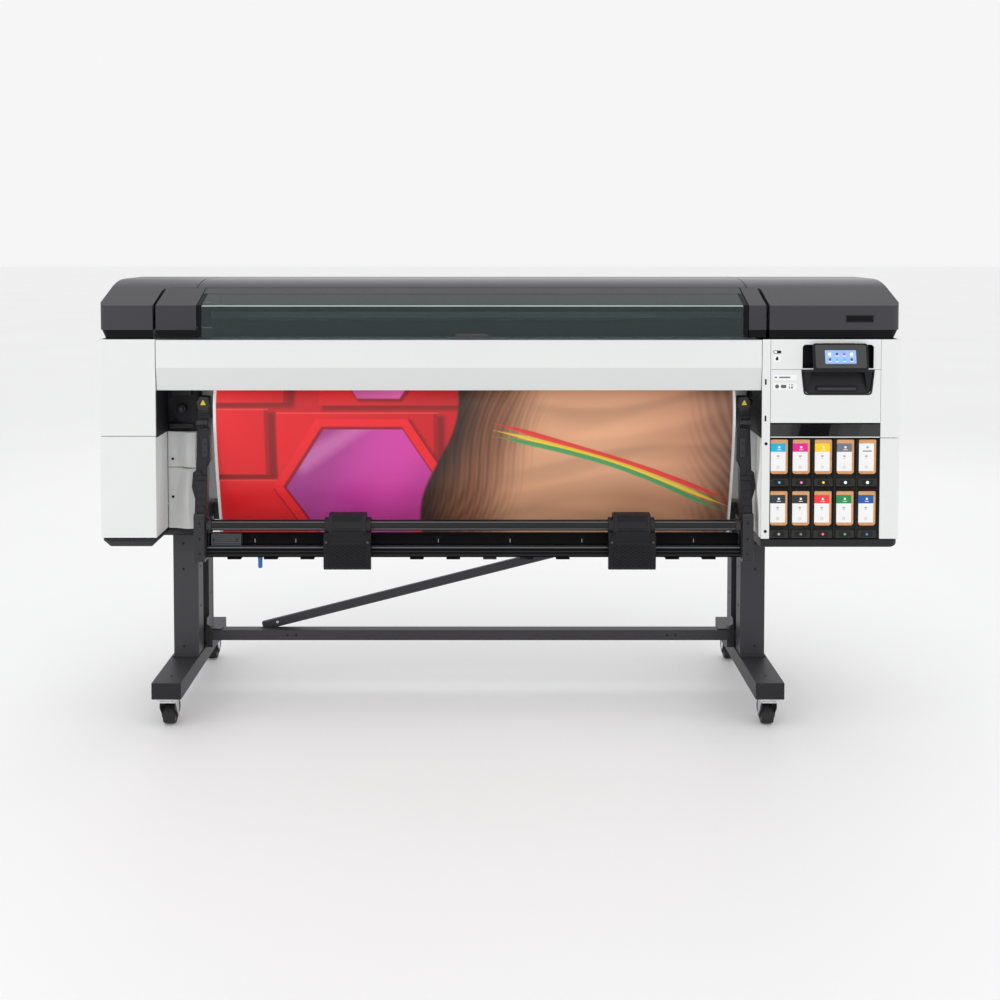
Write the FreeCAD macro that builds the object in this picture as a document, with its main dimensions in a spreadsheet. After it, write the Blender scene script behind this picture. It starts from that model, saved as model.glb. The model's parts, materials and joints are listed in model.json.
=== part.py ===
import FreeCAD, Part
import os
import math
import Sketcher

# Wide-format roll-fed print-and-cut machine on a wheeled stand.
# Frame: origin on the floor below the middle of the machine, +X to the operator's right, +Y to the rear, +Z up.
# Millimetres.

V = FreeCAD.Vector
doc = FreeCAD.newDocument("PrinterCutter")
sheet = doc.addObject("Spreadsheet::Sheet", "Dims")

# ---------------------------------------------------------------- driving dimensions
DIMS = [
    # overall and depth
    ("overall_half", 1222.0), ("front_y", -290.0), ("rear_y", 200.0), ("deck_z", 1366.0),
    ("skin", 3.0), ("shell", 4.0),
    # stand
    ("wheel_rad", 30.0), ("foot_low", 91.0), ("foot_top", 142.0), ("foot_half_len", 335.0), ("tube_wall", 3.0),
    ("foot_left_low", -1063.0), ("foot_left_high", -972.0), ("foot_right_low", 781.0), ("foot_right_high", 869.0),
    ("column_top", 549.0), ("col_left_low", -1053.0), ("col_left_high", -972.0), ("col_right_low", 782.0), ("col_right_high", 861.0),
    ("col_front", -88.0), ("col_rear", 125.0), ("flange_front", -24.0), ("flange_rear", 57.0), ("web_plate", 13.0),
    ("beam_low", 164.0), ("beam_high", 198.0), ("beam_front", 4.0), ("beam_rear", 44.0),
    ("caster_y", 292.0), ("caster_left", -1017.5), ("caster_right", 825.0), ("caster_trail", 16.0),
    ("plate_side", 62.0), ("plate_thick", 6.0), ("king_rad", 5.0), ("axle_rad", 4.0), ("run_gap", 0.05),
    ("fork_half", 24.0), ("cheek", 3.0), ("wheel_width", 38.0),
    # housings
    ("left_out", -1221.0), ("left_in", -1051.0), ("left_wall", -957.0), ("recess_y", -150.0),
    ("right_in", 801.0), ("strip_edge", 826.0), ("col_edge", 1163.0), ("right_out", 1222.0),
    ("tray_low", 549.0), ("tray_top", 577.0), ("cover_low", 580.0), ("cover_top", 1190.0), ("corner", 27.0),
    ("panel_seam", 1098.0), ("door_low", 934.0), ("bay_top", 888.0), ("liner_low", 888.0), ("liner_top", 1033.0),
    # caps and window
    ("cap_low", 1195.0), ("nose_z", 1293.0), ("crest_y", -95.0), ("crest_z", 1364.0), ("hinge_y", -156.0), ("hinge_z", 1342.0),
    ("cap_left_edge", -1057.0), ("cap_left_rear", -953.0), ("cap_right_edge", 822.0), ("cap_right_rear", 781.0),
    ("window_low_x", -922.0), ("window_high_x", 755.5),
    # front beam
    ("fb_low_x", -1049.0), ("fb_high_x", 799.5), ("fb_low", 1033.0), ("fb_crease", 1103.0), ("fb_top", 1188.0),
    # engine
    ("platen_top", 1108.0), ("feed_y", 25.0), ("feed_rad", 19.7), ("feed_shaft", 8.0), ("pinch_rad", 8.0), ("pinch_shaft", 3.0),
    ("roll_y", 112.0), ("roll_z", 905.0), ("roll_rad", 62.0), ("core_rad", 38.0), ("spindle_rad", 16.0), ("journal", 10.0),
    ("rail_front", 45.0), ("rail_low", 1150.0), ("rail_top", 1254.0), ("rail_left", -951.0), ("rail_right", 1195.0),
    ("car_left", 850.0), ("car_width", 210.0),
    # media
    ("media_left", -891.0), ("media_right", 735.0), ("media_thick", 1.0),
    # collection frame
    ("pivot_y", -190.0), ("pivot_z", 985.0), ("arm_left", -940.0), ("arm_right", 745.0), ("arm_thick", 35.0),
    ("tube_y", -243.0), ("tube_z", 610.0), ("tube_rad", 17.0),
    ("bar_low", 513.0), ("bar_high", 547.0), ("bar_front", -262.0), ("bar_rear", -216.0),
    ("grip_low", 486.0), ("grip_left_x", -542.0), ("grip_right_x", 334.0), ("grip_width", 147.0),
    # ink system
    ("slot_w", 54.6), ("slot_h", 107.6), ("cart_w", 54.0), ("cart_h", 107.0), ("cart_len", 205.0), ("cart_pitch", 67.5),
    ("cart_x0", 855.5), ("row_low_a", 776.0), ("row_low_b", 617.0),
    # control panel
    ("touch_left", 948.0), ("touch_right", 1116.0), ("touch_low", 1099.5), ("touch_top", 1182.0),
]
VAL = {}
for row, (name, value) in enumerate(DIMS, start=1):
    sheet.set("A%d" % row, name)
    sheet.set("B%d" % row, repr(value))
    sheet.setAlias("B%d" % row, name)
    VAL[name] = value
doc.recompute()


class Q:
    """A size that knows both its value and the sheet expression it comes from."""

    def __init__(self, v, e):
        self.v, self.e = v, e

    def _o(self, o):
        return o if isinstance(o, Q) else Q(float(o), "%.6f" % float(o))

    def __add__(self, o):
        o = self._o(o)
        return Q(self.v + o.v, "(%s + %s)" % (self.e, o.e))

    def __sub__(self, o):
        o = self._o(o)
        return Q(self.v - o.v, "(%s - %s)" % (self.e, o.e))

    def __mul__(self, o):
        o = self._o(o)
        return Q(self.v * o.v, "(%s * %s)" % (self.e, o.e))

    def __truediv__(self, o):
        o = self._o(o)
        return Q(self.v / o.v, "(%s / %s)" % (self.e, o.e))

    def __radd__(self, o):
        return self._o(o) + self

    def __rsub__(self, o):
        return self._o(o) - self

    def __rmul__(self, o):
        return self._o(o) * self

    def __neg__(self):
        return Q(-self.v, "(0 - %s)" % self.e)


class Sheet:
    def __getattr__(self, name):
        return Q(VAL[name], "Dims.%s" % name)


D = Sheet()


def val(x):
    return x.v if isinstance(x, Q) else float(x)


def bind(obj, prop, x):
    """Sets a numeric property, and ties it to the sheet where the size comes from there."""
    if isinstance(x, Q):
        obj.setExpression(prop, x.e)
    elif "." not in prop:
        setattr(obj, prop, x)
    else:
        obj.setExpression(prop, "%.6f" % float(x))


COUNT = [0]
NODES = []


def uid(stem):
    COUNT[0] += 1
    return "%s%03d" % (stem, COUNT[0])


def node(obj, label):
    obj.Label = label
    NODES.append(obj)
    return obj


# ---------------------------------------------------------------- primitives
def box(x0, x1, y0, y1, z0, z1):
    b = doc.addObject("Part::Box", uid("Box"))
    for prop, lo, hi in (("Length", x0, x1), ("Width", y0, y1), ("Height", z0, z1)):
        if isinstance(lo, Q) or isinstance(hi, Q):
            bind(b, prop, (hi if isinstance(hi, Q) else Q(float(hi), "%.6f" % hi)) - lo)
        else:
            bind(b, prop, hi - lo)
    for prop, lo in (("x", x0), ("y", y0), ("z", z0)):
        bind(b, "Placement.Base.%s" % prop, lo)
    return b


def cyl(axis, r, a, b, c, length):
    """A cylinder along an axis, starting at (a, b, c) in X, Y, Z."""
    o = doc.addObject("Part::Cylinder", uid("Cyl"))
    rot = {"X": FreeCAD.Rotation(V(0, 1, 0), 90), "Y": FreeCAD.Rotation(V(1, 0, 0), -90), "Z": FreeCAD.Rotation()}[axis]
    o.Placement = FreeCAD.Placement(V(val(a), val(b), val(c)), rot)
    bind(o, "Radius", r)
    bind(o, "Height", length)
    for prop, lo in (("x", a), ("y", b), ("z", c)):
        bind(o, "Placement.Base.%s" % prop, lo)
    return o


def cut(base, tool):
    o = doc.addObject("Part::Cut", uid("Cut"))
    o.Base, o.Tool = base, tool
    return o


def fuse(*objs):
    o = doc.addObject("Part::MultiFuse", uid("Fuse"))
    o.Shapes = list(objs)
    return o


def group(*objs):
    """Separate solids kept in one sub-part."""
    o = doc.addObject("Part::Compound", uid("Set"))
    o.Links = list(objs)
    return o


# ---------------------------------------------------------------- sketched bodies
def plane_of(body, role):
    return [f for f in body.Origin.OriginFeatures if f.Role == role][0]


def sketch(body, plane, loops, offset):
    """A sketch of closed polygons on one of the body's origin planes, moved along its normal by offset.
    A point (a, b, r) rounds its corner with radius r."""
    sk = body.newObject("Sketcher::SketchObject", uid("Sketch"))
    sk.AttachmentSupport = [(plane_of(body, plane + "_Plane"), "")]
    sk.MapMode = "FlatFace"
    sk.AttachmentOffset = FreeCAD.Placement(V(0, 0, val(offset)), FreeCAD.Rotation())
    bind(sk, "AttachmentOffset.Base.z", offset)
    for pts in loops:
        n = len(pts)
        rounded = any(len(p) > 2 for p in pts)
        if not rounded:
            base = sk.GeometryCount
            for i in range(n):
                p, q = pts[i], pts[(i + 1) % n]
                sk.addGeometry(Part.LineSegment(V(val(p[0]), val(p[1]), 0), V(val(q[0]), val(q[1]), 0)), False)
            for i in range(n):
                sk.addConstraint(Sketcher.Constraint("Coincident", base + i, 2, base + (i + 1) % n, 1))
            for i in range(n):
                for kind, k in (("DistanceX", 0), ("DistanceY", 1)):
                    c = sk.addConstraint(Sketcher.Constraint(kind, -1, 1, base + i, 1, val(pts[i][k])))
                    if isinstance(pts[i][k], Q):
                        sk.setExpression("Constraints[%d]" % c, pts[i][k].e)
            continue
        # corners with a radius: straight edges joined by tangent arcs
        P = [V(val(p[0]), val(p[1]), 0) for p in pts]
        R = [float(p[2]) if len(p) > 2 else 0.0 for p in pts]
        starts, ends = [], []
        for i in range(n):
            a, b, c = P[i - 1], P[i], P[(i + 1) % n]
            if R[i] > 0:
                u, w = (a - b).normalize(), (c - b).normalize()
                half = math.acos(max(-1, min(1, u.dot(w)))) / 2
                t = R[i] / math.tan(half)
                s_, e_ = b + u * t, b + w * t
                mid_dir = (u + w).normalize()
                centre = b + mid_dir * (R[i] / math.sin(half))
                mid = centre - mid_dir * R[i]
                starts.append((s_, mid))
                ends.append(e_)
            else:
                starts.append((b, None))
                ends.append(b)
        for i in range(n):
            s_, mid = starts[i]
            if mid is not None:
                sk.addGeometry(Part.Arc(s_, mid, ends[i]), False)
            sk.addGeometry(Part.LineSegment(ends[i], starts[(i + 1) % n][0]), False)
    return sk


def span(plane, lo, hi):
    """Sketch offset and pad length that fill lo..hi along the plane's world axis."""
    hi_q = hi if isinstance(hi, Q) else Q(float(hi), "%.6f" % hi)
    length = hi_q - lo
    if plane == "XZ":          # this plane's normal points to -Y
        return -hi_q, length
    return lo, length


def prism(plane, loops, lo, hi, body=None):
    if body is None:
        body = doc.addObject("PartDesign::Body", uid("Body"))
    off, length = span(plane, lo, hi)
    sk = sketch(body, plane, loops, off)
    p = body.newObject("PartDesign::Pad", uid("Pad"))
    p.Profile = sk
    bind(p, "Length", length)
    return body


def pocket(body, plane, loops, lo, hi):
    """Removes the loops from lo to hi along the plane's world axis, and proves that it removed something."""
    doc.recompute()
    before = body.Shape.Volume
    lo_q = lo if isinstance(lo, Q) else Q(float(lo), "%.6f" % lo)
    hi_q = hi if isinstance(hi, Q) else Q(float(hi), "%.6f" % hi)
    off = -lo_q if plane == "XZ" else hi_q      # the sketch stands where the cut starts; a pocket runs against its normal
    sk = sketch(body, plane, loops, off)
    p = body.newObject("PartDesign::Pocket", uid("Pocket"))
    p.Profile = sk
    bind(p, "Length", hi_q - lo_q)
    doc.recompute()
    assert body.Shape.Volume < before - 1e-3, "pocket removed nothing: " + body.Name
    return body


def fillet(body, choose, radius, kind="Fillet"):
    """Rounds (or chamfers) the edges that choose(edge) accepts; smaller if the full size doesn't go on."""
    doc.recompute()
    base = body.Tip
    names = ["Edge%d" % (i + 1) for i, e in enumerate(base.Shape.Edges) if choose(e)]
    assert names, "no edge chosen: " + body.Name
    for r in (radius, radius * 0.7, radius * 0.4):
        f = body.newObject("PartDesign::" + kind, uid(kind))
        f.Base = (base, names)
        if kind == "Fillet":
            f.Radius = r
        else:
            f.Size = r
        doc.recompute()
        if not any(s in ("Invalid", "Error") for s in f.State) and f.Shape.isValid() and f.Shape.Volume > 0:
            return body
        body.removeObject(f)
        doc.removeObject(f.Name)
        body.Tip = base
        doc.recompute()
    print("edge treatment left out on", body.Name)
    return body


def at(e, **want):
    """True if every vertex of the edge lies on the given coordinates."""
    for k, w in want.items():
        for v in e.Vertexes:
            got = getattr(v.Point, k)
            ws = w if isinstance(w, (list, tuple)) else [w]
            if not any(abs(got - x) < 0.02 for x in ws):
                return False
    return True


def rect(a0, a1, b0, b1):
    return [(a0, b0), (a1, b0), (a1, b1), (a0, b1)]


def mirror_x(pts, shift):
    return pts


# ================================================================ STAND
for side, lo, hi in (("left", D.foot_left_low, D.foot_left_high), ("right", D.foot_right_low, D.foot_right_high)):
    w = D.tube_wall
    b = prism("XZ", [rect(lo, hi, D.foot_low, D.foot_top), rect(lo + w, hi - w, D.foot_low + w, D.foot_top - w)],
              -D.foot_half_len + 6, D.foot_half_len - 6)
    node(b, "foot_" + side)

for side, lo, hi, outer in (("left", D.col_left_low, D.col_left_high, -1), ("right", D.col_right_low, D.col_right_high, 1)):
    w = D.tube_wall
    if outer < 0:
        ring = [(lo, D.col_front), (hi, D.col_front), (hi, D.flange_front), (lo + D.web_plate, D.flange_front),
                (lo + D.web_plate, D.flange_rear), (hi, D.flange_rear), (hi, D.col_rear), (lo, D.col_rear)]
    else:
        ring = [(hi, D.col_front), (lo, D.col_front), (lo, D.flange_front), (hi - D.web_plate, D.flange_front),
                (hi - D.web_plate, D.flange_rear), (lo, D.flange_rear), (lo, D.col_rear), (hi, D.col_rear)]
    b = prism("XY", [ring, rect(lo + w, hi - w, D.col_front + w, D.flange_front - w), rect(lo + w, hi - w, D.flange_rear + w, D.col_rear - w)],
              D.foot_top, D.column_top)
    node(b, "column_" + side)

# cross beam: rectangular tube let into the channels of both columns
w = D.tube_wall
node(prism("YZ", [rect(D.beam_front, D.beam_rear, D.beam_low, D.beam_high),
                  rect(D.beam_front + w, D.beam_rear - w, D.beam_low + w, D.beam_high - w)],
           D.col_left_low + D.web_plate, D.col_right_high - D.web_plate), "cross_beam")

# corner plates in front of the beam, and corner brackets on top of it, at both columns
gs = []
for x_in, s in ((D.col_left_high, 1), (D.col_right_low, -1)):
    gs.append(prism("XZ", [[(x_in, 142.0), (x_in + s * 24, 142.0), (x_in + s * 24, 196.0), (x_in + s * 16, 214.0), (x_in, 222.0)]], D.beam_front - 4, D.beam_front))
    gs.append(prism("XZ", [[(x_in, D.beam_high), (x_in + s * 52, D.beam_high), (x_in + s * 52, D.beam_high + 4), (x_in + s * 4, D.beam_high + 4), (x_in + s * 4, 236.0), (x_in, 236.0)]], D.beam_front + 4, D.beam_rear - 4))
node(group(*gs), "gusset_plates")

# diagonal brace from the beam to the lower cross member of the engine
node(prism("XZ", [[(-793.4, 211.6), (-786.6, 184.4), (697.7, 560.0), (583.4, 560.0)]], 44.0, 62.0), "diagonal_brace")

# ---- casters: a plate under the foot, a swivelling fork with its king pin and axle, and a wheel on the axle
plates = []
for x in (D.caster_left, D.caster_right):
    for s in (-1, 1):
        y = D.caster_y * s
        h = D.plate_side / 2
        plates.append(cut(box(x - h, x + h, y - h, y + h, D.foot_low - D.plate_thick, D.foot_low),
                          cyl("Z", D.king_rad + D.run_gap, x, y, D.foot_low - D.plate_thick - 5, 20.0)))
node(group(*plates), "caster_plates")
for tag, x, s in (("front_left", D.caster_left, -1), ("front_right", D.caster_right, -1), ("rear_left", D.caster_left, 1), ("rear_right", D.caster_right, 1)):
    y = D.caster_y * s
    yw = y + D.caster_trail
    top = D.foot_low - D.plate_thick - 0.5
    f, c = D.fork_half, D.cheek
    cheeks = []
    for xa, xb in ((x - f, x - f + c), (x + f - c, x + f)):
        b = prism("YZ", [[(y - 20, top - 3), (y + 24, top - 3), (yw + 14, 36.0), (yw + 11, 20.0), (yw - 11, 20.0), (yw - 14, 36.0)]], xa, xb)
        cheeks.append(b)
    crown = box(x - f, x + f, y - 20, y + 24, top - 5, top)
    disc = cyl("Z", 19.0, x, y, top - 2, 2.3)
    king = cyl("Z", D.king_rad, x, y, top - 3, D.plate_thick + 3.1)
    axle = cyl("X", D.axle_rad, x - f - 1.5, yw, D.wheel_rad, f * 2 + 3)
    node(fuse(crown, disc, king, axle, *cheeks), "caster_fork_" + tag)
    # wheel: tyre with a crowned tread and a dished hub, bored for the axle
    body = doc.addObject("PartDesign::Body", uid("Body"))
    hw = D.wheel_width / 2
    sk = sketch(body, "XY", [[(-hw, 4.05), (-hw, 11.0), (-hw + 4, 12.0), (-hw + 4, 20.0), (-hw, 22.0), (-hw, 27.0), (-hw + 4, 30.0), (hw - 4, 30.0),
                              (hw, 27.0), (hw, 22.0), (hw - 4, 20.0), (hw - 4, 12.0), (hw, 11.0), (hw, 4.05)]], 0.0)
    rv = body.newObject("PartDesign::Revolution", uid("Rev"))
    rv.Profile = sk
    rv.ReferenceAxis = (sk, ["H_Axis"])
    rv.Angle = 360.0
    body.Placement = FreeCAD.Placement(V(val(x), val(yw), val(D.wheel_rad)), FreeCAD.Rotation())
    for ax_, e_ in (("x", x), ("y", yw), ("z", D.wheel_rad)):
        bind(body, "Placement.Base.%s" % ax_, e_)
    node(body, "caster_wheel_" + tag)

# ================================================================ BASE TRAYS
tl = prism("XY", [[(D.left_out, D.front_y), (D.left_in, D.front_y), (D.left_in, D.recess_y), (D.left_wall, D.recess_y), (D.left_wall, D.rear_y), (D.left_out, D.rear_y)]],
           D.tray_low, D.tray_top)
fillet(tl, lambda e: at(e, x=-1221.0, y=-290.0), 27.0)
fillet(tl, lambda e: at(e, z=549.0) and e.BoundBox.YMin > -291 and (e.BoundBox.XMax < -1190 or e.BoundBox.YMax < -262 or (e.BoundBox.YMax < -149 and e.BoundBox.XMin > -1052)), 20.0, "Chamfer")
tr = prism("XY", [rect(D.right_in, D.right_out, D.front_y, D.rear_y)], D.tray_low, D.tray_top - 2)
fillet(tr, lambda e: at(e, x=1222.0, y=-290.0), 27.0)
fillet(tr, lambda e: at(e, z=549.0) and (e.BoundBox.XMin > 1190), 14.0)
node(group(tl, tr), "base_trays")

# ================================================================ HOUSING COVERS
k = D.skin
lc = prism("XY", [[(D.left_out, D.rear_y - k, ), (D.left_out, D.front_y), (D.left_in, D.front_y), (D.left_in, D.recess_y - k), (D.left_in - k, D.recess_y - k),
                   (D.left_in - k, D.front_y + k), (D.left_out + k, D.front_y + k), (D.left_out + k, D.rear_y - k)]], D.cover_low, D.cover_top)
fillet(lc, lambda e: at(e, x=-1221.0, y=-290.0), 27.0)
fillet(lc, lambda e: at(e, x=-1218.0, y=-287.0), 24.0)
node(lc, "left_cover")

li = prism("XY", [[(D.left_in, D.recess_y), (D.left_wall, D.recess_y), (D.left_wall, D.rear_y - k), (D.left_wall - k, D.rear_y - k), (D.left_wall - k, D.recess_y + k), (D.left_in, D.recess_y + k)]],
           D.cover_low, 886.0)
node(li, "left_inner_cover")

rs = prism("XY", [[(D.col_edge, D.front_y), (D.right_out, D.front_y), (D.right_out, D.rear_y - k), (D.right_out - k, D.rear_y - k), (D.right_out - k, D.front_y + k), (D.col_edge, D.front_y + k)]],
           D.cover_low - 3, D.cover_top)
fillet(rs, lambda e: at(e, x=1222.0, y=-290.0), 27.0)
fillet(rs, lambda e: at(e, x=1219.0, y=-287.0), 24.0)
node(rs, "right_side_cover")

ri = prism("XY", [[(D.right_in, D.rear_y - k), (D.right_in, D.front_y), (D.strip_edge, D.front_y), (D.strip_edge, D.front_y + k), (D.right_in + k, D.front_y + k), (D.right_in + k, D.rear_y - k)]],
           D.cover_low - 3, 1095.0)
pocket(ri, "YZ", [rect(-200.0, 150.0, 1104.0 - 12, 1096.0)], D.right_in - 1, D.right_in + 3.5)
ri = fuse(ri, box(D.right_in, D.strip_edge, D.front_y, D.front_y + k, 1094.0, D.cover_top))
node(ri, "right_inner_cover")

# dark liners above the inner cover and on the right inner wall
sl = prism("XY", [[(D.left_in, D.recess_y), (D.left_wall, D.recess_y), (D.left_wall, 150.0), (D.left_wall - k, 150.0), (D.left_wall - k, D.recess_y + k), (D.left_in, D.recess_y + k)]],
           D.liner_low, D.liner_top)
sr = box(D.right_in - 2, D.right_in, -286.0, 150.0, D.liner_low, D.liner_top)
so = box(D.left_in, D.left_in + 2, -284.0, D.recess_y, D.liner_low, D.liner_top - 2)
node(group(sl, so, sr), "side_liners")

# right top panel with the recess that holds the touch module
tp = prism("XZ", [rect(827.0, 1162.0, D.panel_seam + 0.5, D.cover_top), rect(921.0, 1142.0, 1099.5, 1176.0)], D.front_y, D.front_y + k)
tub = prism("XZ", [rect(921.0, 1142.0, 1099.5, 1176.0), rect(923.0, 1140.0, 1101.5, 1174.0)], D.front_y, D.front_y + 34)
back = box(921.0, 1142.0, D.front_y + 34, D.front_y + 36, 1099.5, 1176.0)
node(fuse(tp, tub, back), "right_top_panel")

# door under the touch module, with its hand scoop
dr = prism("XZ", [rect(827.0, 1162.0, D.door_low + 0.5, D.panel_seam - 0.5), [(921.0, 1093.0), (930.0, 1022.0), (1133.0, 1022.0), (1142.0, 1093.0)]], D.front_y, D.front_y + k)
scoop = prism("XZ", [[(921.0, 1093.0), (930.0, 1022.0), (1133.0, 1022.0), (1142.0, 1093.0)], [(923.2, 1090.6), (932.0, 1024.4), (1131.0, 1024.4), (1139.8, 1090.6)]], D.front_y, D.front_y + 30)
sback = prism("XZ", [[(921.0, 1093.0), (930.0, 1022.0), (1133.0, 1022.0), (1142.0, 1093.0)]], D.front_y + 30, D.front_y + 32.5)
node(fuse(dr, scoop, sback), "service_door")

# touch module on its top hinge
touch = prism("YZ", [[(D.front_y - 0.8, 1181.0), (-296.0, 1182.0), (-306.0, 1176.0), (-322.0, 1103.0), (-318.0, 1099.5), (-304.0, 1102.0)]], D.touch_left, D.touch_right)
node(touch, "touch_panel")

# rear panels (left, middle, right)
rp = group(box(D.left_out, D.left_wall, D.rear_y - k, D.rear_y, D.cover_low, D.cover_top),
           box(D.left_wall, D.right_in, D.rear_y - k, D.rear_y, 1000.0, D.cover_top),
           cut(box(D.right_in, D.right_out, D.rear_y - k, D.rear_y, D.cover_low - 3, D.cover_top), box(1040.0, 1090.0, D.rear_y - 10, D.rear_y + 10, 640.0, 668.0)))
node(rp, "rear_panels")

# mains inlet socket: a tub behind the panel opening with its three contacts
inl = cut(box(1040.0, 1090.0, D.rear_y - 24, D.rear_y + 1, 640.0, 668.0), box(1046.0, 1084.0, D.rear_y - 20, D.rear_y + 2, 643.0, 665.0))
pins = [box(x - 1.0, x + 1.0, D.rear_y - 21, D.rear_y - 5, 652.0 + dz, 658.0 + dz) for x, dz in ((1051.0, -2.0), (1065.0, 0.0), (1079.0, -2.0))]
node(fuse(inl, *pins), "power_inlet")

# ================================================================ INK SYSTEM
bay = prism("XZ", [rect(827.0, 1162.0, D.cover_low - 3, D.bay_top)], D.front_y + 2, D.front_y + 220)
holes = []
for i in range(5):
    for low in (D.row_low_a, D.row_low_b):
        x = D.cart_x0 + D.cart_pitch * i
        holes.append(rect(x - D.slot_w / 2, x + D.slot_w / 2, low - 0.3, low + D.cart_h + 0.3))
pocket(bay, "XZ", holes, D.front_y + 2, D.front_y + 215)
strip = prism("XZ", [rect(827.0, 1162.0, D.bay_top + 4, D.door_low - 4)], D.front_y, D.front_y + k)
node(group(bay, strip), "ink_bay")
for r, low in (("a", D.row_low_a), ("b", D.row_low_b)):
    for i in range(5):
        x = D.cart_x0 + D.cart_pitch * i
        b = prism("XZ", [rect(x - D.cart_w / 2, x + D.cart_w / 2, low, low + D.cart_h)], D.front_y + 3, D.front_y + 3 + D.cart_len)
        node(b, "ink_cartridge_%s%d" % (r, i + 1))

# ================================================================ TOP CAPS, COVER AND WINDOW
yf, yr = D.front_y, D.rear_y


def cap_profile(t, y_first=None):
    """Outer profile for t = 0, or its inside for wall t."""
    pts = [(yf + t, D.cap_low), (yf + t, D.nose_z - t * 0.72), (D.crest_y + t * 0.2, D.crest_z - t), (D.crest_y + 35, D.deck_z - t), (yr - 12, D.deck_z - t), (yr - t, D.deck_z - 12 - t * 0.4), (yr - t, D.cap_low)]
    return pts


def rear_profile(t, y0):
    """The same profile behind y0, which lies on the slope."""
    z0 = D.hinge_z
    return [(y0, D.cap_low), (y0, z0 - t), (D.crest_y + t * 0.2, D.crest_z - t), (D.crest_y + 35, D.deck_z - t), (yr - 12, D.deck_z - t), (yr - t, D.deck_z - 12 - t * 0.4), (yr - t, D.cap_low)]


s4 = D.shell
cl = prism("YZ", [cap_profile(Q(0.0, "0"))], -D.overall_half, D.cap_left_edge)
prism("YZ", [rear_profile(Q(0.0, "0"), D.hinge_y + 1)], D.cap_left_edge, D.cap_left_rear, body=cl)
fillet(cl, lambda e: at(e, x=-1222.0, y=-290.0), 30.0)
fillet(cl, lambda e: at(e, x=-1222.0) and e.BoundBox.ZMin > 1194 and e.BoundBox.ZMax - 1195 > 1 and not at(e, z=1195.0), 12.0)
pocket(cl, "YZ", [[(D.front_y + 8, D.cap_low - 1)] + cap_profile(s4 * 2)[1:-1] + [(yr - s4, D.cap_low - 1)]], -D.overall_half + 22, D.cap_left_edge)
pocket(cl, "YZ", [[(D.hinge_y + 1 + s4, D.cap_low - 1)] + [(D.hinge_y + 1 + s4, D.hinge_z - s4)] + rear_profile(s4, D.hinge_y)[2:-1] + [(yr - s4, D.cap_low - 1)]], D.cap_left_edge - 0.1, D.cap_left_rear)
node(cl, "top_cap_left")

cr = prism("YZ", [cap_profile(Q(0.0, "0"))], D.cap_right_edge, D.overall_half)
prism("YZ", [rear_profile(Q(0.0, "0"), D.hinge_y + 1)], D.cap_right_rear, D.cap_right_edge, body=cr)
fillet(cr, lambda e: at(e, x=1222.0, y=-290.0), 30.0)
fillet(cr, lambda e: at(e, x=1222.0) and e.BoundBox.ZMin > 1194 and e.BoundBox.ZMax - 1195 > 1 and not at(e, z=1195.0), 12.0)
pocket(cr, "YZ", [[(D.front_y + 8, D.cap_low - 1)] + cap_profile(s4 * 2)[1:-1] + [(yr - s4, D.cap_low - 1)]], D.cap_right_edge, D.overall_half - 22)
pocket(cr, "YZ", [[(D.hinge_y + 1 + s4, D.cap_low - 1)] + [(D.hinge_y + 1 + s4, D.hinge_z - s4)] + rear_profile(s4, D.hinge_y)[2:-1] + [(yr - s4, D.cap_low - 1)]], D.cap_right_rear, D.cap_right_edge + 0.1)
node(cr, "top_cap_right")

# middle cover: a bent sheet from the window's hinge line to the rear
o_, i_ = rear_profile(Q(0.0, "0"), D.hinge_y + 1), rear_profile(s4, D.hinge_y + 1)
mid = prism("YZ", [o_[1:] + list(reversed(i_[1:]))], D.cap_left_rear + 2, D.cap_right_rear - 2)
node(mid, "top_cover")

# window: smoked panel with a bent front edge, and the fixed blocks at its two ends
bent = [(yf, D.cap_low), (yf, D.nose_z), (D.hinge_y, D.hinge_z), (D.hinge_y, D.hinge_z - s4 * 1.08), (yf + s4, D.nose_z - s4 * 0.7), (yf + s4, D.cap_low)]
node(prism("YZ", [bent], D.window_low_x, D.window_high_x), "window")
blk = [(yf, D.cap_low), (yf, D.nose_z), (D.hinge_y, D.hinge_z), (D.hinge_y, D.hinge_z - s4 * 1.5), (yf + s4 * 1.4, D.nose_z - s4), (yf + s4 * 1.4, D.cap_low)]
node(group(prism("YZ", [blk], D.left_in, D.window_low_x - 2), prism("YZ", [blk], D.window_high_x + 3, 815.0)), "window_end_blocks")

# front beam: a folded panel with a crease, a return at the top and one at the bottom
fb = [(-150.0, D.fb_top - 3), (yf + 3, D.fb_top - 3), (yf + 3, D.fb_crease), (yf + 12, D.fb_low + 3), (-206.0, D.fb_low + 3), (-206.0, D.fb_low), (yf + 9, D.fb_low), (yf, D.fb_crease), (yf, D.fb_top), (-150.0, D.fb_top)]
node(prism("YZ", [fb], D.fb_low_x, D.fb_high_x), "front_beam")

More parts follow.
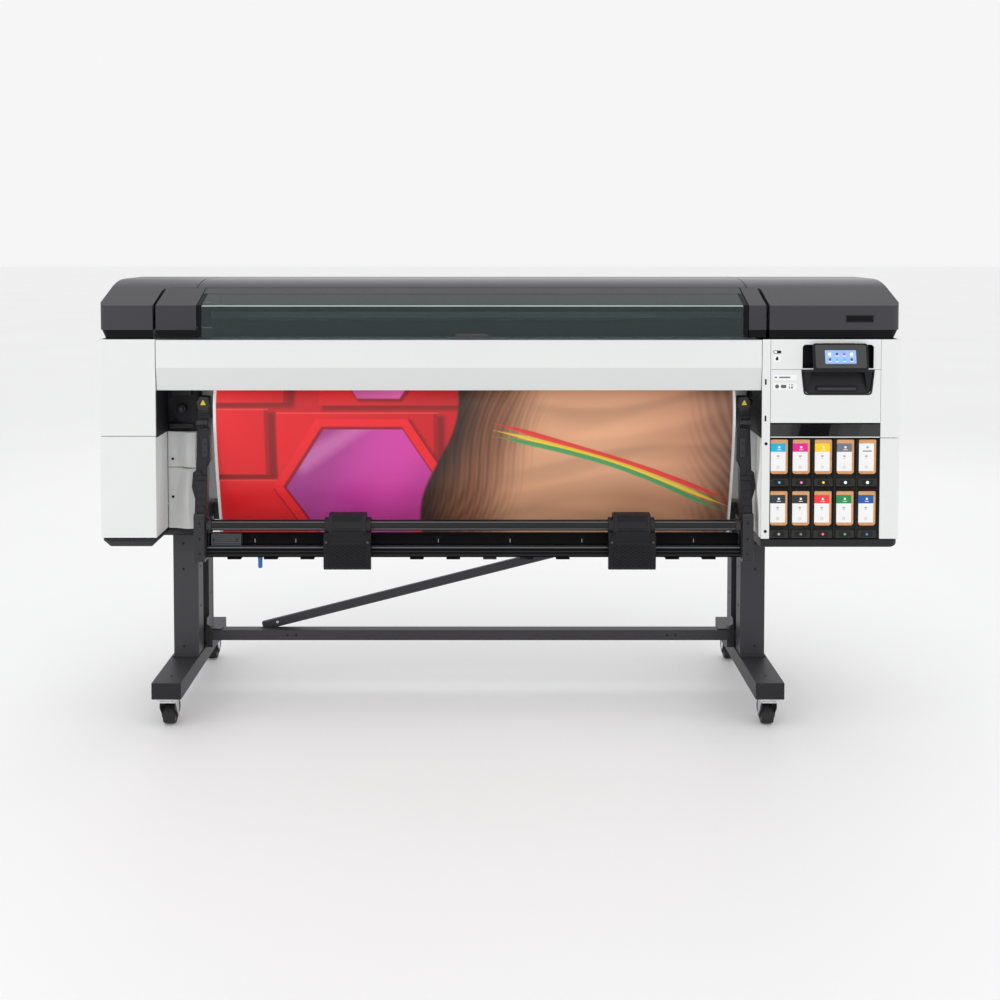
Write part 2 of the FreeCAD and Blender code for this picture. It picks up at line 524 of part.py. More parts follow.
# ================================================================ PRINT ENGINE
# side plates with bearings for the feed roller and the roll spindle, and the lower cross member
sps = []
for x0, x1 in ((D.left_wall + 0.5, D.left_wall + 6.5), (D.right_in - 8.5, D.right_in - 2.5)):
    plate = prism("YZ", [[(-90.0, 577.0), (160.0, 577.0), (185.0, 620.0), (185.0, 1000.0), (150.0, 1104.0), (-140.0, 1104.0), (-140.0, 1040.0), (-90.0, 980.0)]], x0, x1)
    h1 = cyl("X", D.feed_shaft + D.run_gap, x0 - 5, D.feed_y, D.platen_top - D.feed_rad - 0.3, 16.0)
    h2 = cyl("X", D.journal + D.run_gap, x0 - 5, D.roll_y, D.roll_z, 16.0)
    sps.append(cut(plate, fuse(h1, h2)))
xm0, xm1 = D.left_wall + 6.5, D.right_in - 8.5
member = prism("YZ", [rect(44.0, 104.0, 577.0 - 17, 617.0), rect(47.0, 101.0, 563.0, 614.0)], xm0, xm1)
node(group(sps[0], sps[1], member), "chassis")

# platen: a ribbed box under a flat deck with two rows of suction slots and a rolled front edge
pl = prism("YZ", [[(-2.0, 1060.0), (-2.0, D.platen_top - 0.3), (-110.0, D.platen_top - 0.3), (-138.0, 1100.0), (-158.0, 1083.0), (-166.0, 1060.0),
                   (-163.0, 1060.0), (-155.0, 1081.5), (-136.0, 1096.5), (-109.0, 1103.0), (-5.0, 1103.0), (-5.0, 1060.0)]], xm0 + 0.5, xm1 - 0.5)
slots = []
for i in range(16):
    x = -835.0 + 104.6 * i
    slots.append(rect(x, x + 60.0, -60.0, -54.0))
    slots.append(rect(x + 20, x + 80.0, -100.0, -94.0))
pocket(pl, "XY", slots, 1090.0, 1112.0)
node(pl, "platen")

# carriage beam with the bearer plates of the pinch shaft
beam_c = prism("YZ", [rect(D.rail_front, D.rail_front + 50, D.rail_low, D.rail_top), rect(D.rail_front + 3, D.rail_front + 47, D.rail_low + 3, D.rail_top - 3)], D.rail_left, D.rail_right)
bears = []
pz = D.platen_top + D.media_thick + 0.3 + D.pinch_rad
for x in (-905.0, -430.0, -60.0, 340.0, 749.0):
    bears.append(cut(box(x, x + 4.0, 13.0, D.rail_front, D.platen_top + 3, D.rail_low + 8), cyl("X", D.pinch_shaft + D.run_gap, x - 5, D.feed_y, pz, 14.0)))
cutter_rail = prism("YZ", [[(-206.0, 1142.0), (-196.0, 1142.0), (-196.0, 1176.0), (-206.0, 1176.0)]], D.left_wall + 6.5, D.right_in - 8.5)
node(group(beam_c, cutter_rail, *bears), "carriage_rails")

# carriage with its heads, parked at the right end
cx0, cx1 = D.car_left, D.car_left + D.car_width
car = prism("YZ", [[(-105.0, 1116.0), (8.0, 1116.0), (8.0, 1162.0), (D.rail_front - 0.5, 1162.0), (D.rail_front - 0.5, D.rail_top + 0.5), (D.rail_front + 40, D.rail_top + 0.5),
                    (D.rail_front + 40, 1264.0), (-20.0, 1264.0), (-60.0, 1252.0), (-105.0, 1200.0)]], cx0, cx1)
node(car, "carriage")
# cutter: a small block with its wheel, hung on the rear of its own rail, parked at the left end
kx = -944.0
blade = cyl("X", 9.0, kx + 22, -172.0, 1119.5, 2.0)
node(fuse(box(kx, kx + 46.0, -195.5, -150.0, 1126.0, 1174.0), blade, box(kx + 18, kx + 28.0, -180.0, -164.0, 1116.0, 1126.0)), "cutter")

# feed roller with its shaft, pinch rollers on theirs
fz = D.platen_top - D.feed_rad - 0.3
node(fuse(cyl("X", D.feed_rad, D.media_left - 30, D.feed_y, fz, D.media_right - D.media_left + 40), cyl("X", D.feed_shaft, D.left_wall + 0.3, D.feed_y, fz, D.right_in - D.left_wall - 2.8)), "feed_roller")
pins_ = [cyl("X", D.pinch_shaft, -915.0, D.feed_y, pz, 1675.0)]
for i in range(13):
    pins_.append(cyl("X", D.pinch_rad, -868.0 + 125.0 * i + (0 if i < 12 else 0), D.feed_y, pz, 44.0))
node(fuse(*pins_), "pinch_rollers")

# spindle with end discs, and the roll wound on its core
node(fuse(cyl("X", D.journal, D.left_wall + 0.3, D.roll_y, D.roll_z, D.right_in - D.left_wall - 2.8), cyl("X", D.spindle_rad, D.left_wall + 12, D.roll_y, D.roll_z, D.right_in - D.left_wall - 26),
          cyl("X", 58.0, D.media_left - 16, D.roll_y, D.roll_z, 12.0), cyl("X", 58.0, D.media_right + 4, D.roll_y, D.roll_z, 12.0),
          cyl("X", D.core_rad, D.media_left - 4, D.roll_y, D.roll_z, 40.0), cyl("X", D.core_rad, D.media_right - 36, D.roll_y, D.roll_z, 40.0)), "roll_spindle")
node(cut(cyl("X", D.roll_rad, D.media_left, D.roll_y, D.roll_z, D.media_right - D.media_left), cyl("X", D.core_rad, D.media_left - 1, D.roll_y, D.roll_z, D.media_right - D.media_left + 2)), "media_roll")


# media web: from the rear of the roll, over the feed roller and the platen, and down behind the collection bars
def sheet_solid(points, thick, x0, x1):
    up = [V(0, p[0], p[1]) for p in points]
    n = len(up)
    low = []
    for i in range(n):
        t = up[min(i + 1, n - 1)] - up[max(i - 1, 0)]
        t.normalize()
        low.append(up[i] + V(0, -t.z, t.y) * thick)
    a, b = Part.BSplineCurve(), Part.BSplineCurve()
    a.interpolate(up)
    b.interpolate(low)
    w_ = Part.Wire([a.toShape(), Part.LineSegment(up[-1], low[-1]).toShape(), b.toShape(), Part.LineSegment(low[0], up[0]).toShape()])
    f_ = Part.Face(w_)
    f_.translate(V(x0, 0, 0))
    return f_.extrude(V(x1 - x0, 0, 0))


rx = val(D.roll_y) + val(D.roll_rad) + 0.6
zt = val(D.platen_top)
path = [(rx, 905.0), (rx + 0.6, 950.0), (rx, 1000.0), (rx - 8, 1044.0), (rx - 32, 1080.0), (rx - 66, 1101.0), (rx - 100, zt - 0.5), (52.0, zt), (25.0, zt), (-2.0, zt), (-60.0, zt), (-118.0, zt),
        (-150.0, 1102.0), (-175.0, 1085.0), (-191.0, 1062.0), (-202.0, 1036.0), (-212.0, 1010.0), (-219.5, 978.0), (-219.0, 930.0), (-209.0, 860.0), (-192.0, 780.0), (-170.0, 700.0), (-146.0, 620.0), (-128.0, 551.0), (-116.0, 500.0)]
web = doc.addObject("Part::Feature", "MediaWeb")
web.Shape = sheet_solid(path, -val(D.media_thick), val(D.media_left), val(D.media_right))
web.Placement = FreeCAD.Placement(V(0, 0, 0), FreeCAD.Rotation())
node(web, "media_web")

# ================================================================ COLLECTION FRAME
arm_pts = [(-172.0, 1006.0, 16.0), (-208.0, 1006.0, 16.0), (-216.0, 960.0, 40.0), (-266.0, 660.0, 60.0), (-266.0, 505.0, 8.0), (-228.0, 505.0, 8.0), (-228.0, 650.0, 60.0), (-172.0, 960.0, 30.0)]
arms = []
for x0 in (D.arm_left, D.arm_right):
    a = prism("YZ", [arm_pts], x0, x0 + D.arm_thick)
    arms.append(a)
brackets = [cyl("X", 9.0, D.left_wall + 7, D.pivot_y, D.pivot_z, D.arm_left - D.left_wall - 7), cyl("X", 9.0, D.arm_right + D.arm_thick, D.pivot_y, D.pivot_z, D.right_in - 9 - D.arm_right - D.arm_thick)]
node(group(fuse(arms[0], brackets[0]), fuse(arms[1], brackets[1])), "swing_arms")
ax0, ax1 = D.arm_left + D.arm_thick, D.arm_right
node(cyl("X", D.tube_rad, ax0, D.tube_y - 6, D.tube_z, ax1 - ax0), "guide_tube")
lb = prism("YZ", [[(D.bar_front, D.bar_low), (D.bar_rear, D.bar_low), (D.bar_rear, D.bar_high + 30), (D.bar_rear - 4, D.bar_high + 34), (D.bar_front + 34, D.bar_high + 34), (D.bar_front + 34, D.bar_high), (D.bar_front, D.bar_high)]], ax0, ax1)
tabs = [box(x, x + 42.0, D.bar_front + 4, D.bar_rear - 4, D.bar_low - 8, D.bar_low) for x in [-842.0 + 113.0 * i for i in range(14)] if not (-610 < x < -380 or 270 < x < 500)]
node(fuse(lb, *tabs), "lower_bar")

# grips: a clamp round the tube and a padded hand grip in front of the bar
for side, gx in (("left", D.grip_left_x), ("right", D.grip_right_x)):
    gw = D.grip_width
    clamp = cut(box(gx + 14, gx + gw - 14, D.tube_y - 30, D.tube_y + 19, D.tube_z - 24, D.tube_z + 39), cyl("X", D.tube_rad + D.run_gap, gx, D.tube_y - 6, D.tube_z, gw))
    pad = prism("YZ", [[(D.bar_front - 26, 486.0), (D.bar_front - 0.5, 478.0), (D.bar_front - 0.5, 592.0), (D.tube_y - 24, 592.0), (D.bar_front - 26, 575.0)]], gx, gx + gw)
    node(fuse(clamp, pad), "grip_" + side)

# lever under the bar
node(fuse(box(-748.5, -735.5, -250.0, -244.0, 474.0, 507.5), cyl("X", 5.0, -748.5, -247.0, 507.5, 13.0)), "blue_lever")

# ================================================================ CHECK AND WRITE
doc.recompute()
bad = []
for o in doc.Objects:
    if any(s in ("Invalid", "Error") for s in o.State):
        bad.append("%s (%s) %s" % (o.Name, o.Label, o.State))
for o in NODES:
    if o.Shape.isNull() or not o.Shape.isValid() or not o.Shape.Solids:
        bad.append("bad shape: " + o.Label)
labels = [o.Label for o in NODES]
assert len(labels) == len(set(labels)), "two sub-parts share a name"
assert len(labels) <= 60, "too many sub-parts: %d" % len(labels)
if bad:
    raise SystemExit("\n".join(bad))
os.makedirs("parts", exist_ok=True)
for old in os.listdir("parts"):
    if old.endswith(".step") and old[:-5] not in labels:
        os.remove(os.path.join("parts", old))
for o in NODES:
    o.Shape.exportStep("parts/%s.step" % o.Label)
box_all = NODES[0].Shape.BoundBox
for o in NODES[1:]:
    box_all.add(o.Shape.BoundBox)
print("nodes", len(NODES), "box", box_all)
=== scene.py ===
import json
import math
import random

import bmesh
import bpy
import numpy as np
from mathutils import Matrix, Vector

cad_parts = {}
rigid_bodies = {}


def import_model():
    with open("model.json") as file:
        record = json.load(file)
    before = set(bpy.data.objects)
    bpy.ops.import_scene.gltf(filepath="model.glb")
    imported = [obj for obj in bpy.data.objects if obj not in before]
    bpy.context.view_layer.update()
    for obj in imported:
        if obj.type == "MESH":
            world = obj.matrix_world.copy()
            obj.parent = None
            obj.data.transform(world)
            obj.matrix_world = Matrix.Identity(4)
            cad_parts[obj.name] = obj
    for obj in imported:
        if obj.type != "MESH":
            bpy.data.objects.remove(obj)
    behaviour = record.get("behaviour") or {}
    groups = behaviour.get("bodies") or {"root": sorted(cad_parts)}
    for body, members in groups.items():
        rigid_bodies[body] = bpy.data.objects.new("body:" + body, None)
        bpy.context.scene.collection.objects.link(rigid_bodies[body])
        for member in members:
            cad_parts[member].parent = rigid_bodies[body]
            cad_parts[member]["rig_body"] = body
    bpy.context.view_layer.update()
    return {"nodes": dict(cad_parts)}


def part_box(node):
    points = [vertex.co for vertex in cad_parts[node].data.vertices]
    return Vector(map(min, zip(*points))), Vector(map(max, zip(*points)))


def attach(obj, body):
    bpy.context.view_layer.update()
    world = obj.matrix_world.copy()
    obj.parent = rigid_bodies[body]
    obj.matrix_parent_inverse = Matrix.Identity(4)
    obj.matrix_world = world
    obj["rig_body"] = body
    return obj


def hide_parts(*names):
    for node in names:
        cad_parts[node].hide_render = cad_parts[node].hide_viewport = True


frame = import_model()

SC = bpy.context.scene
PI = math.pi
random.seed(7)


def nb(node):
    """A CAD node's box in millimetres: x0, x1, y0, y1, z0, z1."""
    lo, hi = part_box(node)
    return [v * 1000 for v in (lo.x, hi.x, lo.y, hi.y, lo.z, hi.z)]


# ================================================================ camera, light, stage
cam_data = bpy.data.cameras.new("camera")
cam = bpy.data.objects.new("camera", cam_data)
SC.collection.objects.link(cam)
cam.location = (-0.04611, -3.98236, 1.49774)
cam.rotation_euler = (math.radians(90 - 2.20164), 0, 0)
cam_data.sensor_width = 36.0
cam_data.lens = 43.7509
cam_data.shift_x = 0.01541
cam_data.shift_y = -0.215
SC.camera = cam

SC.view_settings.view_transform = "Standard"
SC.view_settings.look = "None"
SC.view_settings.exposure = 0.0

world = bpy.data.worlds.new("world")
SC.world = world
world.use_nodes = True
bg = world.node_tree.nodes["Background"]
bg.inputs["Color"].default_value = (1.0, 1.0, 1.0, 1)
bg.inputs["Strength"].default_value = 0.92


def area(name, loc, target, size, size_y, power, color=(1, 1, 1)):
    d = bpy.data.lights.new(name, "AREA")
    d.shape = "RECTANGLE"
    d.size, d.size_y, d.energy, d.color = size, size_y, power, color
    o = bpy.data.objects.new(name, d)
    SC.collection.objects.link(o)
    o.location = loc
    o.rotation_euler = (Vector(target) - Vector(loc)).to_track_quat("-Z", "Y").to_euler()
    return o


area("key_top", (-0.6, -1.2, 4.2), (0, 0, 0.8), 5.0, 2.0, 12)
area("front_fill", (0.0, -5.2, 1.9), (0, 0, 0.8), 5.5, 2.2, 10)
area("left_strip", (-4.2, -1.6, 1.6), (-0.4, 0, 0.8), 1.2, 3.0, 9)
area("right_strip", (4.2, -1.4, 1.6), (0.4, 0, 0.8), 1.2, 3.0, 9)
area("corner_left", (-2.7, -3.3, 1.1), (-1.0, -0.2, 1.1), 0.16, 2.4, 9)
area("corner_right", (2.9, -3.0, 1.1), (1.0, -0.2, 1.1), 0.16, 2.4, 7)
area("back_light", (0.4, 4.2, 2.8), (0, 0, 0.7), 5.0, 2.0, 18)

# ================================================================ materials
MATS = {}


def mat(name, color, rough=0.4, metal=0.0, var=0.03, var_scale=3.0, grain=900.0, bump=0.05, rough_var=0.06, coat=0.0, coat_rough=0.1,
        spec=0.5, edge=0.0, speck=0.0, speck_scale=1800.0, emit=None, dist=0.0002, brushed=None):
    """A procedural finish: broad colour variation, fine grain in bump and roughness, and lighter worn edges where asked."""
    if name in MATS:
        return MATS[name]
    m = bpy.data.materials.new(name)
    m.use_nodes = True
    nt = m.node_tree
    N, L = nt.nodes, nt.links
    b = N["Principled BSDF"]
    tc = N.new("ShaderNodeTexCoord")
    src = tc.outputs["Object"]
    big = N.new("ShaderNodeTexNoise")
    big.inputs["Scale"].default_value = var_scale
    big.inputs["Detail"].default_value = 4.0
    L.new(src, big.inputs["Vector"])
    ramp = N.new("ShaderNodeValToRGB")
    lo = [max(0, c * (1 - var)) for c in color] + [1]
    hi = [min(1, c * (1 + var)) for c in color] + [1]
    ramp.color_ramp.elements[0].position, ramp.color_ramp.elements[0].color = 0.3, lo
    ramp.color_ramp.elements[1].position, ramp.color_ramp.elements[1].color = 0.7, hi
    L.new(big.outputs["Fac"], ramp.inputs["Fac"])
    col = ramp.outputs["Color"]
    gmap = src
    if brushed:
        mp = N.new("ShaderNodeMapping")
        mp.inputs["Scale"].default_value = brushed
        L.new(src, mp.inputs["Vector"])
        gmap = mp.outputs["Vector"]
    fine = N.new("ShaderNodeTexNoise")
    fine.inputs["Scale"].default_value = grain
    fine.inputs["Detail"].default_value = 3.0
    L.new(gmap, fine.inputs["Vector"])
    if speck > 0:
        sp = N.new("ShaderNodeTexNoise")
        sp.inputs["Scale"].default_value = speck_scale
        sp.inputs["Detail"].default_value = 1.0
        L.new(src, sp.inputs["Vector"])
        sr = N.new("ShaderNodeMapRange")
        sr.inputs["From Min"].default_value, sr.inputs["From Max"].default_value = 0.58, 0.72
        L.new(sp.outputs["Fac"], sr.inputs["Value"])
        mx = N.new("ShaderNodeMix")
        mx.data_type = "RGBA"
        mx.blend_type = "SCREEN"
        L.new(sr.outputs["Result"], mx.inputs["Factor"])
        L.new(col, mx.inputs["A"])
        mx.inputs["B"].default_value = (speck, speck, speck * 1.05, 1)
        col = mx.outputs["Result"]
    if edge > 0:
        ge = N.new("ShaderNodeNewGeometry")
        er = N.new("ShaderNodeMapRange")
        er.inputs["From Min"].default_value, er.inputs["From Max"].default_value = 0.52, 0.62
        L.new(ge.outputs["Pointiness"], er.inputs["Value"])
        ml = N.new("ShaderNodeMath")
        ml.operation = "MULTIPLY"
        L.new(er.outputs["Result"], ml.inputs[0])
        L.new(fine.outputs["Fac"], ml.inputs[1])
        mx2 = N.new("ShaderNodeMix")
        mx2.data_type = "RGBA"
        L.new(ml.outputs["Value"], mx2.inputs["Factor"])
        L.new(col, mx2.inputs["A"])
        mx2.inputs["B"].default_value = tuple(min(1, c + edge) for c in color) + (1,)
        col = mx2.outputs["Result"]
    L.new(col, b.inputs["Base Color"])
    rr = N.new("ShaderNodeMapRange")
    rr.inputs["To Min"].default_value = max(0.02, rough - rough_var)
    rr.inputs["To Max"].default_value = min(1, rough + rough_var)
    L.new(fine.outputs["Fac"], rr.inputs["Value"])
    L.new(rr.outputs["Result"], b.inputs["Roughness"])
    b.inputs["Metallic"].default_value = metal
    b.inputs["Specular IOR Level"].default_value = spec
    if coat:
        b.inputs["Coat Weight"].default_value = coat
        b.inputs["Coat Roughness"].default_value = coat_rough
    if bump > 0:
        bp = N.new("ShaderNodeBump")
        bp.inputs["Strength"].default_value = bump
        bp.inputs["Distance"].default_value = dist
        L.new(fine.outputs["Fac"], bp.inputs["Height"])
        L.new(bp.outputs["Normal"], b.inputs["Normal"])
    if emit:
        b.inputs["Emission Color"].default_value = tuple(emit[:3]) + (1,)
        b.inputs["Emission Strength"].default_value = emit[3]
    MATS[name] = m
    return m


def lin(r, g, b):
    f = lambda c: (c / 255 / 12.92) if c / 255 <= 0.04045 else ((c / 255 + 0.055) / 1.055) ** 2.4
    return (f(r), f(g), f(b))


WHITE = mat("white_moulded", (0.765, 0.780, 0.770), rough=0.42, var=0.012, grain=1400, bump=0.10, rough_var=0.06)
# darker copy of the white moulding: painted shade for the front beam's inward-sloping lower facet
WHITE_PAINTED_SHADE = mat("white_lower_facet_painted_shade", (0.665, 0.675, 0.672), rough=0.42, var=0.012, grain=1400, bump=0.10)
WHITE2 = mat("white_inner", (0.66, 0.67, 0.66), rough=0.5, var=0.02, grain=1200, bump=0.10)
CAP = mat("cap_metallic_grey", (0.036, 0.035, 0.042), rough=0.36, metal=0.1, var=0.05, grain=2200, bump=0.10, speck=0.02, spec=0.22, edge=0.02)
CAPBAND = mat("cap_black_band", (0.004, 0.004, 0.006), rough=0.45, var=0.1, grain=1200, bump=0.12, spec=0.10)
BLACK = mat("black_moulded", (0.008, 0.008, 0.010), rough=0.5, var=0.12, grain=1100, bump=0.3, edge=0.010, spec=0.20)
BLACK2 = mat("black_satin", (0.016, 0.0155, 0.018), rough=0.42, var=0.1, grain=1300, bump=0.2, edge=0.012, spec=0.22)
BLACKG = mat("black_gloss", (0.010, 0.010, 0.011), rough=0.12, var=0.1, grain=300, bump=0.01, coat=0.6, coat_rough=0.05)
STEEL = mat("stand_powder_coat", (0.036, 0.034, 0.041), rough=0.48, metal=0.1, var=0.06, grain=1500, bump=0.35, edge=0.02, speck=0.015, spec=0.35)
DARKM = mat("dark_painted_metal", (0.026, 0.0265, 0.029), rough=0.38, metal=0.2, spec=0.3, var=0.06, grain=1300, bump=0.15, edge=0.03)
TUBE = mat("anodised_tube", (0.011, 0.0115, 0.0125), rough=0.30, metal=0.35, spec=0.4, var=0.05, grain=500, bump=0.05, brushed=(0.05, 1, 1))
ZINC = mat("zinc_plate", (0.62, 0.63, 0.65), rough=0.28, metal=1.0, var=0.1, grain=400, bump=0.08, var_scale=60)
CHROME = mat("bright_steel", (0.72, 0.72, 0.73), rough=0.16, metal=1.0, var=0.05, grain=600, bump=0.03)
RUBBER = mat("rubber_black", (0.012, 0.012, 0.013), rough=0.75, var=0.15, grain=900, bump=0.5)
RUBGREY = mat("rubber_grey", (0.10, 0.10, 0.105), rough=0.7, var=0.1, grain=900, bump=0.4)
HUB = mat("hub_grey", (0.08, 0.08, 0.085), rough=0.45, var=0.08, grain=900, bump=0.2)
GREY = mat("rear_grey", (0.26, 0.26, 0.27), rough=0.5, var=0.04, grain=1000, bump=0.25)
INNERM = mat("inner_plate", (0.030, 0.040, 0.042), rough=0.4, metal=0.2, spec=0.3, var=0.05, grain=600, bump=0.06, brushed=(0.04, 1, 1))
LIGHTM = mat("inner_light_plate", (0.86, 0.92, 0.88), rough=0.5, metal=0.0, var=0.04, grain=600, bump=0.05, brushed=(0.04, 1, 1))
PAPER = mat("paper_white", (0.86, 0.86, 0.85), rough=0.6, var=0.02, grain=700, bump=0.1)
KRAFT = mat("kraft_board", lin(214, 158, 108), rough=0.75, var=0.10, var_scale=90, grain=1500, bump=0.5, speck=0.05, speck_scale=900)
LABEL = mat("label_paper", (0.88, 0.88, 0.88), rough=0.4, var=0.01, grain=1400, bump=0.04)
BLUE = mat("blue_lever_plastic", lin(30, 98, 165), rough=0.4, var=0.06, grain=1000, bump=0.15)
YELLOW = mat("yellow_tag", lin(232, 205, 40), rough=0.45, var=0.03, grain=900, bump=0.05)
GREENM = mat("green_touch_point", lin(40, 120, 90), rough=0.4, var=0.05, grain=900, bump=0.1)


def glass_mat():
    m = bpy.data.materials.new("smoked_glass")
    m.use_nodes = True
    nt = m.node_tree
    N, L = nt.nodes, nt.links
    b = N["Principled BSDF"]
    tc = N.new("ShaderNodeTexCoord")
    n = N.new("ShaderNodeTexNoise")
    n.inputs["Scale"].default_value = 2.0
    L.new(tc.outputs["Object"], n.inputs["Vector"])
    r = N.new("ShaderNodeValToRGB")
    r.color_ramp.elements[0].color = (0.25, 0.325, 0.335, 1)
    r.color_ramp.elements[1].color = (0.285, 0.365, 0.370, 1)
    L.new(n.outputs["Fac"], r.inputs["Fac"])
    L.new(r.outputs["Color"], b.inputs["Base Color"])
    b.inputs["Roughness"].default_value = 0.0
    b.inputs["Transmission Weight"].default_value = 0.92
    b.inputs["IOR"].default_value = 1.22
    MATS["smoked_glass"] = m
    return m


GLASS = glass_mat()


# ================================================================ mesh tools (millimetres)
def recalc(bm):
    bmesh.ops.recalc_face_normals(bm, faces=bm.faces)


def bevel(bm, width, seg=2, ang=20.0, sel=None, profile=0.5):
    bm.normal_update()
    es = [e for e in bm.edges if e.is_manifold and e.calc_face_angle(0) > math.radians(ang) and (sel is None or sel(e))]
    if es and width > 0:
        bmesh.ops.bevel(bm, geom=es, offset=width, offset_type="OFFSET", segments=seg, profile=profile, affect="EDGES", clamp_overlap=True)
    return bm


def bm_prism(plane, pts, lo, hi, b=1.2, seg=2, ang=20.0):
    """A polygon drawn in XY, XZ or YZ, pushed from lo to hi along the third axis."""
    bm = bmesh.new()
    put = {"XY": lambda p, w: (p[0], p[1], w), "XZ": lambda p, w: (p[0], w, p[1]), "YZ": lambda p, w: (w, p[0], p[1])}[plane]
    a = [bm.verts.new(put(p, lo)) for p in pts]
    c = [bm.verts.new(put(p, hi)) for p in pts]
    bm.faces.new(a)
    bm.faces.new(list(reversed(c)))
    n = len(pts)
    for i in range(n):
        bm.faces.new((a[i], a[(i + 1) % n], c[(i + 1) % n], c[i]))
    recalc(bm)
    return bevel(bm, b, seg, ang)


def bm_box(x0, x1, y0, y1, z0, z1, b=1.2, seg=2):
    return bm_prism("XY", [(x0, y0), (x1, y0), (x1, y1), (x0, y1)], z0, z1, b, seg)


def bm_lathe(axis, c, prof, n=40):
    """Turns (along, radius) points about the axis through c. Open ends are closed to the axis."""
    bm = bmesh.new()
    rings = []
    put = {"X": lambda t, u, v: (c[0] + t, c[1] + u, c[2] + v), "Y": lambda t, u, v: (c[0] + u, c[1] + t, c[2] + v), "Z": lambda t, u, v: (c[0] + u, c[1] + v, c[2] + t)}[axis]
    for t, r in prof:
        if r < 1e-6:
            rings.append([bm.verts.new(put(t, 0, 0))])
        else:
            rings.append([bm.verts.new(put(t, r * math.cos(2 * PI * i / n), r * math.sin(2 * PI * i / n))) for i in range(n)])
    for a, b in zip(rings, rings[1:]):
        for i in range(n):
            j = (i + 1) % n
            if len(a) == 1 and len(b) == 1:
                continue
            if len(a) == 1:
                bm.faces.new((a[0], b[i], b[j]))
            elif len(b) == 1:
                bm.faces.new((a[i], a[j], b[0]))
            else:
                bm.faces.new((a[i], a[j], b[j], b[i]))
    recalc(bm)
    return bm


def bm_cyl(axis, c, r, length, b=1.0, n=40):
    return bm_lathe(axis, c, [(0, 0), (0, r - b), (b * 0.3, r - b * 0.3), (b, r), (length - b, r), (length - b * 0.3, r - b * 0.3), (length, r - b), (length, 0)], n)


def bm_ring(axis, c, r0, r1, length, b=0.5, n=48):
    """A tube closed on itself."""
    bm = bm_lathe(axis, c, [(b, r0), (0, r0 + b), (0, r1 - b), (b, r1), (length - b, r1), (length, r1 - b), (length, r0 + b), (length - b, r0), (b, r0)], n)
    bmesh.ops.remove_doubles(bm, verts=bm.verts, dist=1e-4)
    recalc(bm)
    return bm


def rounded(pts, r, n=5):
    """A polygon with its corners rounded. r is one radius, or one per corner."""
    out = []
    k = len(pts)
    for i in range(k):
        ri = r[i] if isinstance(r, (list, tuple)) else r
        a, b_, c = Vector(pts[i - 1]), Vector(pts[i]), Vector(pts[(i + 1) % k])
        if ri <= 0:
            out.append(tuple(b_))
            continue
        u, w = (a - b_).normalized(), (c - b_).normalized()
        half = math.acos(max(-1, min(1, u.dot(w)))) / 2
        if half > PI / 2 - 0.02:
            out.append(tuple(b_))
            continue
        t = min(ri / math.tan(half), (a - b_).length * 0.49, (c - b_).length * 0.49)
        rr = t * math.tan(half)
        centre = b_ + (u + w).normalized() * (rr / math.sin(half))
        s, e = b_ + u * t - centre, b_ + w * t - centre
        a0 = math.atan2(s.y, s.x)
        d = math.atan2(e.y, e.x) - a0
        d = (d + PI) % (2 * PI) - PI
        for j in range(n + 1):
            th = a0 + d * j / n
            out.append((centre.x + rr * math.cos(th), centre.y + rr * math.sin(th)))
    return out


def rrect(x0, x1, y0, y1, r, n=5):
    return rounded([(x0, y0), (x1, y0), (x1, y1), (x0, y1)], r, n)


def xform(bm, m):
    bmesh.ops.transform(bm, matrix=m, verts=bm.verts)
    return bm


class Build:
    """Collects closed meshes into one piece, each with its own material."""

    def __init__(self):
        self.bm = bmesh.new()
        self.mats = []

    def add(self, part, m):
        if m not in self.mats:
            self.mats.append(m)
        k = self.mats.index(m)
        for f in part.faces:
            f.material_index = k
        return self.join(part)

    def join(self, part):
        t = bpy.data.meshes.new("t")
        part.to_mesh(t)
        part.free()
        self.bm.from_mesh(t)
        bpy.data.meshes.remove(t)
        return self

    def done(self, name, body, replaces=(), sharp=40.0, weighted=True, scale=0.001):
        bm = self.bm
        for v in bm.verts:
            v.co *= scale
        me = bpy.data.meshes.new(name)
        bm.to_mesh(me)
        bm.free()
        o = bpy.data.objects.new(name, me)
        SC.collection.objects.link(o)
        for m in self.mats:
            me.materials.append(m)
        me.shade_smooth()
        me.set_sharp_from_angle(angle=math.radians(sharp))
        if weighted:
            w = o.modifiers.new("wn", "WEIGHTED_NORMAL")
            w.keep_sharp = True
            w.weight = 80
        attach(o, body)
        if replaces:
            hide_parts(*replaces)
        return o


def cad_bm(node):
    """The CAD node's mesh in millimetres, with flat areas merged back into single faces."""
    bm = bmesh.new()
    bm.from_mesh(frame["nodes"][node].data)
    for v in bm.verts:
        v.co *= 1000
    bmesh.ops.remove_doubles(bm, verts=bm.verts, dist=0.004)
    bmesh.ops.dissolve_limit(bm, angle_limit=math.radians(0.6), verts=bm.verts, edges=bm.edges, use_dissolve_boundaries=False)
    recalc(bm)
    return bm


def cut_away(bm, point, normal):
    """Removes what lies on the normal's side and closes the cut."""
    r = bmesh.ops.bisect_plane(bm, geom=list(bm.verts) + list(bm.edges) + list(bm.faces), dist=0.001, plane_co=point, plane_no=normal, clear_outer=True)
    es = [g for g in r["geom_cut"] if isinstance(g, bmesh.types.BMEdge)]
    if es:
        bmesh.ops.holes_fill(bm, edges=es, sides=0)
    recalc(bm)
    return bm


